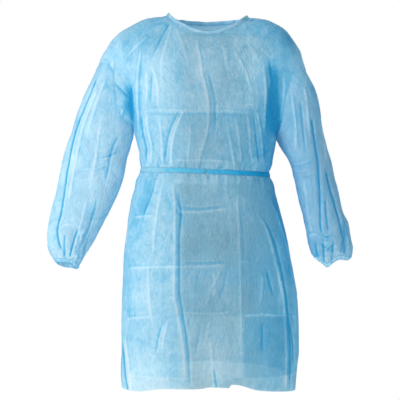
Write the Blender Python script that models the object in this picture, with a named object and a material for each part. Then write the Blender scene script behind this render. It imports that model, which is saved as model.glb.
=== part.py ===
"""Disposable gown in its worn form: an open hollow made of body panels, sleeves, cuffs, binding and ties.

Metres. +Z is up, the front faces -Y and the wearer's left is +X. The origin lies at the neck and
shoulders, where the wearer holds the gown up.
"""
import math

import bmesh
import bpy
import numpy as np

NAME = "disposable_gown"
WALL = 0.0012
BINDING_WALL = 0.0018
TAPE_WALL = 0.0009
SEAM_SPACE = 0.00045
LAY_SPACE = 0.0005
UNDERARM_SPACE = 0.0006

# Grid counts: columns over a shoulder, over the front and back neckline, rows up the side and the armhole.
SHOULDER_COLUMNS = 11
FRONT_NECK_COLUMNS = 18
BACK_NECK_COLUMNS = 10
ARMHOLE_ROWS = 12
SLEEVE_RINGS = 22
OVERLAP_COLUMNS = 3

# Section exponent of the body, and how high the bend over the shoulder is at the neck and at its tip.
BODY_POWER = 2.35
FRONT_BEND = (0.200, 0.085)
BACK_BEND = (0.100, 0.085)

BELT_ROW = 11
BELT_KNOT_Z = -0.487
NECK_KNOT_Z = -0.030
KNOT_SPACE = 0.0003
TAIL_SPACE = 0.0030
OVERLAP_LIFT = 0.0022
NECK_OVERLAP_LIFT = 0.0034

# Rows of the side seams from hem to underarm: z on the right and on the left side, x on both.
SIDE = {
    "z_right": (-1.138, -1.085, -1.020, -0.950, -0.880, -0.810, -0.745, -0.680, -0.620, -0.565, -0.512,
                -0.481, -0.467, -0.437, -0.405, -0.378, -0.3535),
    "z_left": (-1.144, -1.085, -1.020, -0.950, -0.880, -0.810, -0.745, -0.680, -0.620, -0.570, -0.524,
               -0.497, -0.483, -0.455, -0.425, -0.398, -0.3750),
    "x_right": (-0.2630, -0.2660, -0.2645, -0.2645, -0.2645, -0.2610, -0.2580, -0.2510, -0.2440, -0.2335,
                -0.2170, -0.2080, -0.2040, -0.2045, -0.2130, -0.2200, -0.2275),
    "x_left": (0.2675, 0.2705, 0.2770, 0.2770, 0.2740, 0.2650, 0.2510, 0.2410, 0.2270, 0.2130,
               0.2000, 0.1890, 0.1870, 0.1940, 0.2000, 0.2055, 0.2090),
}

# Armhole from underarm to shoulder tip, as (x, z), the same for front and back.
ARMHOLE_RIGHT = ((-0.2275, -0.3535), (-0.2345, -0.3395), (-0.2580, -0.3160), (-0.2755, -0.2800),
                 (-0.2810, -0.2430), (-0.2830, -0.2030), (-0.2870, -0.1740), (-0.2980, -0.1570),
                 (-0.3150, -0.1480), (-0.3336, -0.1476))
ARMHOLE_LEFT = ((0.2090, -0.3750), (0.2150, -0.3580), (0.2220, -0.3250), (0.2270, -0.2850),
                (0.2340, -0.2430), (0.2450, -0.2120), (0.2530, -0.1910), (0.2660, -0.1790),
                (0.2840, -0.1740), (0.3014, -0.1750))

# Shoulder line from one tip to the other; between the neck points it is the line the bend starts from.
RIDGE = ((-0.3336, -0.1476), (-0.3300, -0.1370), (-0.3230, -0.1200), (-0.3106, -0.1020), (-0.3010, -0.0860),
         (-0.2860, -0.0680), (-0.2645, -0.0490), (-0.2306, -0.0310), (-0.1876, -0.0120), (-0.1280, -0.0010),
         (-0.0600, 0.0200), (0.0000, 0.0270), (0.0600, 0.0170), (0.1260, -0.0085), (0.1690, -0.0130),
         (0.2150, -0.0310), (0.2400, -0.0490), (0.2550, -0.0680), (0.2675, -0.0860), (0.2800, -0.1060),
         (0.2870, -0.1260), (0.2930, -0.1450), (0.2985, -0.1640), (0.3014, -0.1750))
NECK_RIGHT = (-0.1280, -0.0010)
NECK_LEFT = (0.1260, -0.0085)
FRONT_NECKLINE = ((-0.1280, -0.0010), (-0.1165, -0.0150), (-0.1050, -0.0275), (-0.0820, -0.0430),
                  (-0.0540, -0.0590), (-0.0260, -0.0685), (0.0000, -0.0720), (0.0260, -0.0700),
                  (0.0460, -0.0640), (0.0670, -0.0535), (0.0890, -0.0400), (0.1070, -0.0260),
                  (0.1180, -0.0165), (0.1260, -0.0085))
BACK_NECKLINE = ((-0.1280, -0.0010), (-0.1180, -0.0045), (-0.0950, -0.0080), (-0.0480, -0.0110),
                 (0.0000, -0.0120), (0.0480, -0.0110), (0.0950, -0.0100), (0.1180, -0.0095),
                 (0.1260, -0.0085))
BAND_HEIGHT = 0.0095
BAND_LEAN = (0.56, 0.83)
FRONT_HEM = ((-1.0, 0.0), (-0.8, 0.004), (-0.5, 0.018), (-0.1, 0.022), (0.0, 0.027), (0.3, 0.024),
             (0.6, 0.014), (0.8, 0.008), (1.0, 0.0))
BACK_HEM = ((-1.0, 0.0), (-0.7, 0.020), (0.0, 0.050), (0.7, 0.026), (1.0, 0.0))

# Body section by height: depth in front and behind.
TRUNK = {
    "z": (-1.144, -1.020, -0.880, -0.745, -0.640, -0.566, -0.510, -0.483, -0.440, -0.375, -0.3535,
          -0.326, -0.289, -0.252, -0.215, -0.178, -0.141, -0.105, -0.049, 0.030),
    "front": (0.148, 0.150, 0.150, 0.147, 0.144, 0.138, 0.129, 0.124, 0.130, 0.141, 0.143,
              0.145, 0.146, 0.145, 0.143, 0.139, 0.134, 0.128, 0.120, 0.110),
    "back": (0.140, 0.142, 0.143, 0.141, 0.138, 0.131, 0.121, 0.115, 0.119, 0.128, 0.131,
             0.134, 0.137, 0.138, 0.138, 0.135, 0.131, 0.127, 0.122, 0.116),
}
# Edges of the trunk part above the underarm, as (z, x); below it they are the side seams.
TRUNK_RIGHT_ABOVE = ((-0.326, -0.2245), (-0.289, -0.2275), (-0.252, -0.2370), (-0.215, -0.2520), (-0.178, -0.2770),
                     (-0.141, -0.3080), (-0.105, -0.3360), (-0.049, -0.3400), (0.030, -0.3400))
TRUNK_LEFT_ABOVE = ((-0.340, 0.2100), (-0.289, 0.2140), (-0.252, 0.2220), (-0.215, 0.2370), (-0.178, 0.2600),
                    (-0.141, 0.2850), (-0.105, 0.3050), (-0.049, 0.3100), (0.030, 0.3100))

# Upper-arm bulge by height: outer and inner edge on each side.
ARM_BULGE = {
    "z": (-0.380, -0.3535, -0.326, -0.289, -0.252, -0.215, -0.178, -0.141, -0.086, 0.030),
    "right_out": (-0.425, -0.4190, -0.4120, -0.3970, -0.3840, -0.3660, -0.3475, -0.3380, -0.3340, -0.3340),
    "right_in": (-0.235, -0.2275, -0.2150, -0.2000, -0.1920, -0.1860, -0.1830, -0.1800, -0.1800, -0.1800),
    "left_out": (0.3600, 0.3540, 0.3480, 0.3450, 0.3380, 0.3280, 0.3120, 0.3020, 0.3020, 0.3020),
    "left_in": (0.2080, 0.2020, 0.1930, 0.1830, 0.1750, 0.1690, 0.1660, 0.1650, 0.1650, 0.1650),
}
# Cloth stretched between trunk and arm just above the underarm.
BRIDGE_DEPTH = 0.056
BRIDGE_REACH = 0.060
BULGE_DEPTH = {"right": 0.064, "left": 0.080}

# Sleeve stations after the armhole: outer x z, inner x z, half depth, mid y, forward tilt of the ring.
SLEEVE_RIGHT = (
    (-0.3628, -0.2091, -0.2290, -0.3620, 0.0640, 0.000, 0.000),
    (-0.3874, -0.2614, -0.2306, -0.3750, 0.0640, 0.000, 0.000),
    (-0.4074, -0.3137, -0.2352, -0.3900, 0.0635, -0.001, 0.000),
    (-0.4228, -0.3660, -0.2399, -0.4090, 0.0625, -0.002, 0.000),
    (-0.4397, -0.4182, -0.2475, -0.4360, 0.0610, -0.004, 0.000),
    (-0.4520, -0.4766, -0.2552, -0.4766, 0.0600, -0.006, 0.000),
    (-0.4628, -0.5320, -0.2690, -0.5230, 0.0590, -0.009, 0.000),
    (-0.4751, -0.5812, -0.2875, -0.5720, 0.0570, -0.012, 0.001),
    (-0.4843, -0.6273, -0.3121, -0.6210, 0.0540, -0.015, 0.002),
    (-0.4889, -0.6703, -0.3336, -0.6610, 0.0490, -0.018, 0.004),
    (-0.4880, -0.7050, -0.3552, -0.7020, 0.0420, -0.020, 0.006),
    (-0.4800, -0.7290, -0.3767, -0.7340, 0.0340, -0.021, 0.008),
    (-0.4690, -0.7470, -0.3930, -0.7600, 0.0275, -0.022, 0.009),
)
SLEEVE_LEFT = (
    (0.3229, -0.2153, 0.2120, -0.3830, 0.0800, 0.000, 0.000),
    (0.3383, -0.2583, 0.2168, -0.3920, 0.0810, 0.000, 0.000),
    (0.3475, -0.3044, 0.2214, -0.4040, 0.0810, -0.001, 0.000),
    (0.3536, -0.3506, 0.2306, -0.4200, 0.0800, -0.003, 0.000),
    (0.3629, -0.3998, 0.2445, -0.4400, 0.0780, -0.006, 0.000),
    (0.3752, -0.4428, 0.2552, -0.4640, 0.0760, -0.010, 0.000),
    (0.3844, -0.4920, 0.2629, -0.4980, 0.0740, -0.014, 0.000),
    (0.3967, -0.5351, 0.2721, -0.5380, 0.0720, -0.018, 0.000),
    (0.4044, -0.5750, 0.2814, -0.5780, 0.0700, -0.022, 0.000),
    (0.4120, -0.6030, 0.2891, -0.6060, 0.0680, -0.025, 0.000),
    (0.4259, -0.6335, 0.2952, -0.6400, 0.0650, -0.028, -0.002),
    (0.4320, -0.6765, 0.3029, -0.6800, 0.0600, -0.031, -0.005),
    (0.4366, -0.7100, 0.3121, -0.7150, 0.0500, -0.033, -0.009),
    (0.4360, -0.7290, 0.3190, -0.7340, 0.0420, -0.034, -0.012),
)
# Cuff end: outer x z, inner x z, half depth, mid y, tilt.
CUFF_RIGHT_END = (-0.4630, -0.7590, -0.3985, -0.7730, 0.0255, -0.022, 0.010)
CUFF_LEFT_END = (0.4310, -0.7420, 0.3260, -0.7460, 0.0370, -0.034, -0.014)
CUFF_GATHER = 0.0011

# Folds: height of the relief, half width, then the line as x, z pairs. Positive stands out.
FRONT_FOLDS = (
    (0.0035, 0.016, (-0.031, -0.095, -0.019, -0.175, -0.009, -0.240, -0.004, -0.300, -0.006, -0.360, -0.028, -0.455)),
    (0.0040, 0.017, (-0.078, -0.285, -0.105, -0.370, -0.110, -0.440)),
    (0.0045, 0.018, (-0.108, -0.515, -0.104, -0.680, -0.104, -0.860, -0.090, -1.000, -0.072, -1.120)),
    (-0.0040, 0.020, (-0.190, -0.500, -0.160, -0.500, -0.178, -0.560, -0.190, -0.620)),
    (0.0040, 0.020, (0.145, -0.600, 0.172, -0.650, 0.203, -0.780, 0.225, -0.890, 0.230, -1.120)),
    (-0.0045, 0.020, (0.205, -0.600, 0.228, -0.700, 0.242, -0.850, 0.247, -1.080)),
    (0.0030, 0.018, (0.082, -0.560, 0.085, -0.800, 0.090, -1.060)),
    (-0.0035, 0.018, (0.020, -1.050, 0.027, -1.120)),
    (-0.0035, 0.020, (-0.240, -1.000, -0.225, -1.130)),
    (0.0040, 0.018, (-0.255, -0.290, -0.270, -0.350)),
)
BACK_FOLDS = (
    (0.0035, 0.018, (-0.140, -0.160, -0.125, -0.300, -0.115, -0.440)),
    (0.0040, 0.020, (0.150, -0.180, 0.135, -0.300, 0.120, -0.440)),
    (0.0045, 0.020, (-0.125, -0.530, -0.150, -0.700, -0.165, -0.900, -0.170, -1.090)),
    (0.0040, 0.020, (0.130, -0.530, 0.155, -0.720, 0.175, -0.900, 0.185, -1.090)),
    (-0.0035, 0.018, (-0.190, -0.540, -0.215, -0.750, -0.220, -1.050)),
    (-0.0035, 0.018, (0.180, -0.540, 0.212, -0.760, 0.225, -1.050)),
)
WAIST_GATHER = 0.0018


def pchip(xs, ys, at):
    """Smooth curve through a table without overshoot."""
    xs = np.asarray(xs, float)
    ys = np.asarray(ys, float)
    at = np.clip(np.asarray(at, float), xs[0], xs[-1])
    step = np.diff(xs)
    rise = np.diff(ys) / step
    slope = np.zeros_like(ys)
    slope[0] = rise[0]
    slope[-1] = rise[-1]
    for k in range(1, len(xs) - 1):
        if rise[k - 1] * rise[k] > 0:
            w1 = 2 * step[k] + step[k - 1]
            w2 = step[k] + 2 * step[k - 1]
            slope[k] = (w1 + w2) / (w1 / rise[k - 1] + w2 / rise[k])
    k = np.clip(np.searchsorted(xs, at, side="right") - 1, 0, len(xs) - 2)
    t = (at - xs[k]) / step[k]
    a = (1 + 2 * t) * (1 - t) ** 2
    b = t * (1 - t) ** 2
    c = t * t * (3 - 2 * t)
    d = t * t * (t - 1)
    return a * ys[k] + b * step[k] * slope[k] + c * ys[k + 1] + d * step[k] * slope[k + 1]


def along(points, fractions):
    """Points at fractions of a line's length."""
    pts = np.asarray(points, float)
    run = np.concatenate(([0.0], np.cumsum(np.linalg.norm(np.diff(pts, axis=0), axis=1))))
    run /= run[-1]
    return np.stack([pchip(run, pts[:, k], fractions) for k in range(pts.shape[1])], axis=1)


def smooth(t):
    t = np.clip(t, 0.0, 1.0)
    return t * t * (3 - 2 * t)


def ridge(x):
    return pchip([p[0] for p in RIDGE], [p[1] for p in RIDGE], x)


def bulge(x, z, side):
    """Half depth of the upper-arm part at x, z."""
    out = pchip(ARM_BULGE["z"], ARM_BULGE[side + "_out"], z)
    inn = pchip(ARM_BULGE["z"], ARM_BULGE[side + "_in"], z)
    t = np.abs((x - (out + inn) / 2) / ((out - inn) / 2))
    return BULGE_DEPTH[side] * np.sqrt(np.clip(1 - t ** 2, 0, 1))


def trunk_edge(z, side):
    above = TRUNK_RIGHT_ABOVE if side == "right" else TRUNK_LEFT_ABOVE
    zs = list(SIDE["z_" + side]) + [p[0] for p in above]
    xs = list(SIDE["x_" + side]) + [p[1] for p in above]
    return pchip(zs, xs, z)


def half_depth(x, z, face):
    """Distance of the front or back surface from the middle plane."""
    x = np.asarray(x, float)
    z = np.asarray(z, float)
    left = trunk_edge(z, "right") - 0.0003
    right = trunk_edge(z, "left") + 0.0003
    depth = pchip(TRUNK["z"], TRUNK[face], z)
    t = np.clip(np.abs((x - (left + right) / 2) / ((right - left) / 2)), 0, 1)
    trunk = depth * (1 - t ** BODY_POWER) ** (1 / BODY_POWER)
    high = smooth((z + 0.374) / 0.02)
    arms = np.where(x < 0, bulge(x, z, "right"), bulge(x, z, "left")) * high
    edge = np.where(x < 0, left, right)
    above = np.clip((z - np.where(x < 0, SIDE["z_right"][-1], SIDE["z_left"][-1])) / 0.05, 0, 1)
    bridge = BRIDGE_DEPTH * above ** 0.4 * np.sqrt(np.clip(1 - ((x - edge) / BRIDGE_REACH) ** 2, 0, 1))
    both = (trunk ** 5 + arms ** 5 + bridge ** 5) ** 0.2
    bends = FRONT_BEND if face == "front" else BACK_BEND
    far = smooth(np.abs(x) / 0.26)
    bend = bends[0] * (1 - far) + bends[1] * far
    h = np.clip((ridge(x) - z) / bend, 0, 1)
    return both * np.sqrt(np.clip(1 - (1 - h) ** 2, 0, 1))


def line_distance(x, z, line):
    """Distance to a fold line and how far along it the nearest point lies."""
    pts = np.asarray(line, float).reshape(-1, 2)
    best = np.full(x.shape, 9.0)
    where = np.zeros(x.shape)
    for k in range(len(pts) - 1):
        d = pts[k + 1] - pts[k]
        t = np.clip(((x - pts[k][0]) * d[0] + (z - pts[k][1]) * d[1]) / (d @ d), 0, 1)
        gap = np.hypot(x - pts[k][0] - t * d[0], z - pts[k][1] - t * d[1])
        near = gap < best
        best = np.where(near, gap, best)
        where = np.where(near, (k + t) / (len(pts) - 1), where)
    return best, where


def relief(x, z, folds):
    total = np.zeros(x.shape)
    for height, width, line in folds:
        gap, where = line_distance(x, z, line)
        taper = np.minimum(smooth(where / 0.12 + 0.25), smooth((1 - where) / 0.12 + 0.25))
        total += height * taper * np.exp(-(gap / width) ** 2)
    return total


def side_rows():
    """Left and right edge lines of the body from hem over the underarm to the shoulder tip."""
    t = np.linspace(0, 1, ARMHOLE_ROWS + 1)
    run = (1 - np.cos(math.pi * t)) / 2
    edges = []
    for side, armhole in (("right", ARMHOLE_RIGHT), ("left", ARMHOLE_LEFT)):
        seam = np.stack([SIDE["x_" + side], SIDE["z_" + side]], axis=1)
        edges.append(np.concatenate([seam, along(armhole, run)[1:]]))
    low = (edges[0][:, 1] + edges[1][:, 1]) / 2
    seams = len(SIDE["z_left"]) - 1
    start = (low[seams] - low[0]) / (-0.16 - low[0])
    share = np.empty(len(low))
    share[:seams + 1] = (low[:seams + 1] - low[0]) / (-0.16 - low[0])
    share[seams:] = start + (1 - start) * (1 - (1 - t) ** 1.7)
    return edges[0], edges[1], share


def body_grid(face):
    """Outer surface of the whole front or back as rows of columns."""
    right, left, share = side_rows()
    neck = FRONT_NECK_COLUMNS if face == "front" else BACK_NECK_COLUMNS
    columns = 2 * SHOULDER_COLUMNS + neck
    u = (1 + np.sin(np.linspace(-math.pi / 2, math.pi / 2, columns + 1))) / 2
    hem = FRONT_HEM if face == "front" else BACK_HEM
    hem_rise = pchip([p[0] for p in hem], [p[1] for p in hem], 2 * u - 1)
    shoulder = (np.linspace(0, 1, SHOULDER_COLUMNS + 1)) ** 0.94
    ridge_pts = np.asarray(RIDGE, float)
    first = ridge_pts[ridge_pts[:, 0] <= NECK_RIGHT[0] + 1e-6]
    last = ridge_pts[ridge_pts[:, 0] >= NECK_LEFT[0] - 1e-6]
    first_x = along(first, shoulder)[:, 0]
    last_x = along(last[::-1], shoulder)[::-1, 0]
    t = np.linspace(0, 1, neck + 1)
    neckline = along(FRONT_NECKLINE if face == "front" else BACK_NECKLINE,
                     0.35 * (1 - np.cos(math.pi * t)) / 2 + 0.65 * t)
    top = np.concatenate([np.stack([first_x, ridge(first_x)], 1), neckline[1:-1],
                          np.stack([last_x, ridge(last_x)], 1)])
    line = top[0] * (1 - u[:, None]) + top[-1] * u[:, None]
    start = share[BELT_ROW + 1]
    beta = (np.clip((share - start) / (1 - start), 0, 1) ** 1.7)[:, None, None]
    alpha = ((1 - share) ** 3)[:, None]
    seams = len(SIDE["z_left"]) - 1
    climb = ((share[seams:] - share[seams]) / (1 - share[seams]))[:, None]
    plain = []
    for edge in (right, left):
        even = edge.copy()
        even[seams:] = edge[seams] * (1 - climb) + edge[-1] * climb
        plain.append(even)
    flat = plain[0][:, None, :] * (1 - u[None, :, None]) + plain[1][:, None, :] * u[None, :, None]
    flat = flat + (right - plain[0])[:, None, :] * ((1 - u) ** 9)[None, :, None]
    flat = flat + (left - plain[1])[:, None, :] * (u ** 9)[None, :, None]
    flat = flat + beta * (top - line)[None]
    flat[:, :, 1] += alpha * hem_rise[None, :]
    x = flat[:, :, 0]
    z = flat[:, :, 1]
    y = half_depth(x, z, face)
    y[:len(SIDE["z_left"]), 0] = 0.0
    y[:len(SIDE["z_left"]), -1] = 0.0
    y[-1, :SHOULDER_COLUMNS + 1] = 0.0
    y[-1, -SHOULDER_COLUMNS - 1:] = 0.0
    return np.stack([x, -y if face == "front" else y, z], axis=2)


def grid_normals(grid, closed, flip):
    """Unit normals of a grid; closed rings wrap along their columns."""
    if closed:
        du = np.roll(grid, -1, axis=1) - np.roll(grid, 1, axis=1)
    else:
        du = np.gradient(grid, axis=1)
    dv = np.gradient(grid, axis=0)
    n = np.cross(du, dv)
    n /= np.maximum(np.linalg.norm(n, axis=2, keepdims=True), 1e-9)
    return -n if flip else n


def seam_key(point):
    return tuple(int(round(c * 20000)) for c in point)


def share_normals(patches):
    """Points that patches have in common get one normal."""
    total = {}
    for grid, normal in patches:
        for p, n in zip(grid.reshape(-1, 3), normal.reshape(-1, 3)):
            total[seam_key(p)] = total.get(seam_key(p), np.zeros(3)) + n
    for grid, normal in patches:
        flat_n = normal.reshape(-1, 3)
        for k, p in enumerate(grid.reshape(-1, 3)):
            n = total[seam_key(p)]
            flat_n[k] = n / max(np.linalg.norm(n), 1e-9)


def draw_in(grid, sides, space):
    """Pull the named edges of a grid into it, so that a seam keeps its space."""
    out = grid.copy()
    pairs = {"left": ((slice(None), 0), (slice(None), 1)), "right": ((slice(None), -1), (slice(None), -2)),
             "bottom": ((0,), (1,)), "top": ((-1,), (-2,))}
    for side in sides:
        edge, inner = pairs[side]
        d = grid[inner] - grid[edge]
        d = d / np.maximum(np.linalg.norm(d, axis=-1, keepdims=True), 1e-9)
        out[edge] = out[edge] + d * space
    return out


def split_quads(verts, faces):
    """Cut each four-sided face along its shorter diagonal."""
    pts = np.asarray(verts, float)
    out = []
    for face in faces:
        if len(face) != 4:
            out.append(face)
            continue
        a, b, c, d = face
        if np.linalg.norm(pts[a] - pts[c]) <= np.linalg.norm(pts[b] - pts[d]):
            out += [(a, b, c), (a, c, d)]
        else:
            out += [(a, b, d), (b, c, d)]
    return out


def make_object(name, verts, faces, collection, color):
    faces = split_quads(verts, faces)
    mesh = bpy.data.meshes.new(name)
    mesh.from_pydata([tuple(float(c) for c in v) for v in verts], [], faces)
    mesh.validate()
    work = bmesh.new()
    work.from_mesh(mesh)
    bmesh.ops.recalc_face_normals(work, faces=work.faces[:])
    work.to_mesh(mesh)
    work.free()
    mesh.update()
    obj = bpy.data.objects.new(name, mesh)
    material = bpy.data.materials.new(name)
    material.use_nodes = True
    shader = material.node_tree.nodes["Principled BSDF"]
    shader.inputs["Base Color"].default_value = (*color, 1.0)
    shader.inputs["Roughness"].default_value = 0.75
    obj.data.materials.append(material)
    for polygon in obj.data.polygons:
        polygon.use_smooth = True
    collection.objects.link(obj)
    return obj


def shell(name, outer, inner, closed, collection, color):
    """Wall between two grids of the same size, with its rims."""
    rows, cols = outer.shape[:2]
    verts = list(outer.reshape(-1, 3)) + list(inner.reshape(-1, 3))
    base = rows * cols

    def at(i, j, layer):
        return layer * base + i * cols + j % cols

    faces = []
    span = cols if closed else cols - 1
    for i in range(rows - 1):
        for j in range(span):
            a = (i, j)
            b = (i, j + 1)
            c = (i + 1, j + 1)
            d = (i + 1, j)
            across = np.linalg.norm(verts[at(*a, 0)] - verts[at(*c, 0)])
            other = np.linalg.norm(verts[at(*b, 0)] - verts[at(*d, 0)])
            cuts = ((a, b, c), (a, c, d)) if across <= other else ((a, b, d), (b, c, d))
            for tri in cuts:
                faces.append(tuple(at(*q, 0) for q in tri))
                faces.append(tuple(at(*q, 1) for q in reversed(tri)))
    for j in range(span):
        faces.append((at(0, j, 0), at(0, j, 1), at(0, j + 1, 1), at(0, j + 1, 0)))
        faces.append((at(rows - 1, j, 0), at(rows - 1, j + 1, 0), at(rows - 1, j + 1, 1), at(rows - 1, j, 1)))
    if not closed:
        for i in range(rows - 1):
            faces.append((at(i, 0, 0), at(i + 1, 0, 0), at(i + 1, 0, 1), at(i, 0, 1)))
            faces.append((at(i, cols - 1, 0), at(i, cols - 1, 1), at(i + 1, cols - 1, 1), at(i + 1, cols - 1, 0)))
    return make_object(name, verts, faces, collection, color)


def sleeve_grid(stations, armhole_front, armhole_back):
    """Rings from the armhole to the sleeve end; each ring starts at the inner side and goes by the front."""
    ring0 = np.concatenate([armhole_front, armhole_back[-2:0:-1]])
    count = len(ring0)
    turn = 2 * math.pi * np.arange(count) / count
    st = np.asarray(stations, float)
    tip = armhole_front[-1]
    under = armhole_front[0]
    first = np.array([tip[0], tip[2], under[0], under[2], st[0][4], 0.0, 0.0])
    table = np.vstack([first, st])
    mids = (table[:, 0:2] + table[:, 2:4]) / 2
    run = np.concatenate(([0.0], np.cumsum(np.linalg.norm(np.diff(mids, axis=0), axis=1))))
    run /= run[-1]
    t = np.linspace(0, 1, SLEEVE_RINGS + 1)
    t = 0.75 * t + 0.25 * (1 - (1 - t) ** 2) if len(stations) else t
    rows = np.stack([pchip(run, table[:, k], t) for k in range(7)], axis=1)
    chord0 = ring_points(first, turn)
    rings = []
    for k, row in enumerate(rows):
        ring = ring_points(row, turn)
        fade = (1 - smooth(t[k] / 0.30))
        rings.append(ring + (ring0 - chord0) * fade)
    return np.array(rings), t


def ring_points(row, turn):
    ox, oz, ix, iz, depth, mid, tilt = row
    c = np.cos(turn)
    s = np.sin(turn)
    full = np.sign(s) * np.abs(s) ** 0.9
    x = (ox + ix) / 2 + (ix - ox) / 2 * c
    z = (oz + iz) / 2 + (iz - oz) / 2 * c + tilt * s
    return np.stack([x, mid - depth * full, z], axis=1)


def tape(name, centre, across, out, width, collection, color):
    """Flat tape along a line, with its width and outward directions at each point."""
    lower = centre - across * width / 2
    upper = centre + across * width / 2
    outer = np.stack([lower + out * TAPE_WALL, upper + out * TAPE_WALL])
    inner = np.stack([lower, upper])
    return shell(name, outer, inner, False, collection, color)


def rest_depth(knot_z, size):
    """Mid depth at which a rounded knot just meets the back."""
    x, z = np.meshgrid(np.linspace(-0.95, 0.95, 15), np.linspace(-0.95, 0.95, 15))
    round_off = np.sqrt(np.clip(1 - x ** 2 - z ** 2, 0, 1))
    inside = round_off > 0
    need = half_depth(x * size[0], knot_z + z * size[2], "back") + size[1] * round_off
    return float(np.max(need[inside]))


def knot(name, centre, size, collection, color):
    """Rounded tied knot with a wrap across it."""
    rings = 7
    count = 12
    verts = [(centre[0], centre[1], centre[2] - size[2])]
    for i in range(1, rings):
        lat = math.pi * i / rings - math.pi / 2
        for j in range(count):
            lon = 2 * math.pi * j / count
            wide = math.cos(lat) * (1 + 0.10 * math.cos(2 * lon))
            verts.append((centre[0] + size[0] * wide * math.cos(lon),
                          centre[1] + size[1] * math.cos(lat) * math.sin(lon),
                          centre[2] + size[2] * math.sin(lat)))
    verts.append((centre[0], centre[1], centre[2] + size[2]))
    faces = []
    for j in range(count):
        n = (j + 1) % count
        faces.append((0, 1 + n, 1 + j))
        for i in range(rings - 2):
            a = 1 + i * count
            faces.append((a + j, a + n, a + count + n, a + count + j))
        a = 1 + (rings - 2) * count
        faces.append((a + j, a + n, len(verts) - 1))
    return make_object(name, verts, faces, collection, color)


def binding(edge, out, collection, color):
    """Folded band standing on the neck edge and leaning towards the neck."""
    flat = np.stack([edge[:, 0], edge[:, 1] * 1.25, np.zeros(len(edge))], axis=1)
    lean = unit(-unit(flat) * BAND_LEAN[0] + np.array([0.0, 0.0, BAND_LEAN[1]]))
    run = unit(np.gradient(edge, axis=0))
    lean = unit(lean - run * np.sum(lean * run, axis=1, keepdims=True))
    normal = unit(np.cross(run, lean))
    normal = np.where(np.sum(normal * flat, axis=1, keepdims=True) < 0, -normal, normal)
    low = edge + lean * LAY_SPACE
    outer = np.stack([low, low + lean * BAND_HEIGHT * 0.5, low + lean * BAND_HEIGHT]) + normal * 0.0003
    shell("neck_binding", outer, outer - normal * BINDING_WALL, False, collection, color)


def wall_depths(grid, under):
    """Wall of each grid point: thinner only in the sharp fold at the underarm."""
    depth = np.full(grid.shape[:2] + (1,), WALL)
    for row, share in ((under - 1, 0.95), (under, 0.84), (under + 1, 0.84), (under + 2, 0.9)):
        for k, part in ((0, share), (1, share), (2, (1 + share) / 2)):
            depth[row, k] = WALL * part
            depth[row, -1 - k] = WALL * part
    return depth


def unit(v):
    return v / np.maximum(np.linalg.norm(v, axis=-1, keepdims=True), 1e-9)


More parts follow.
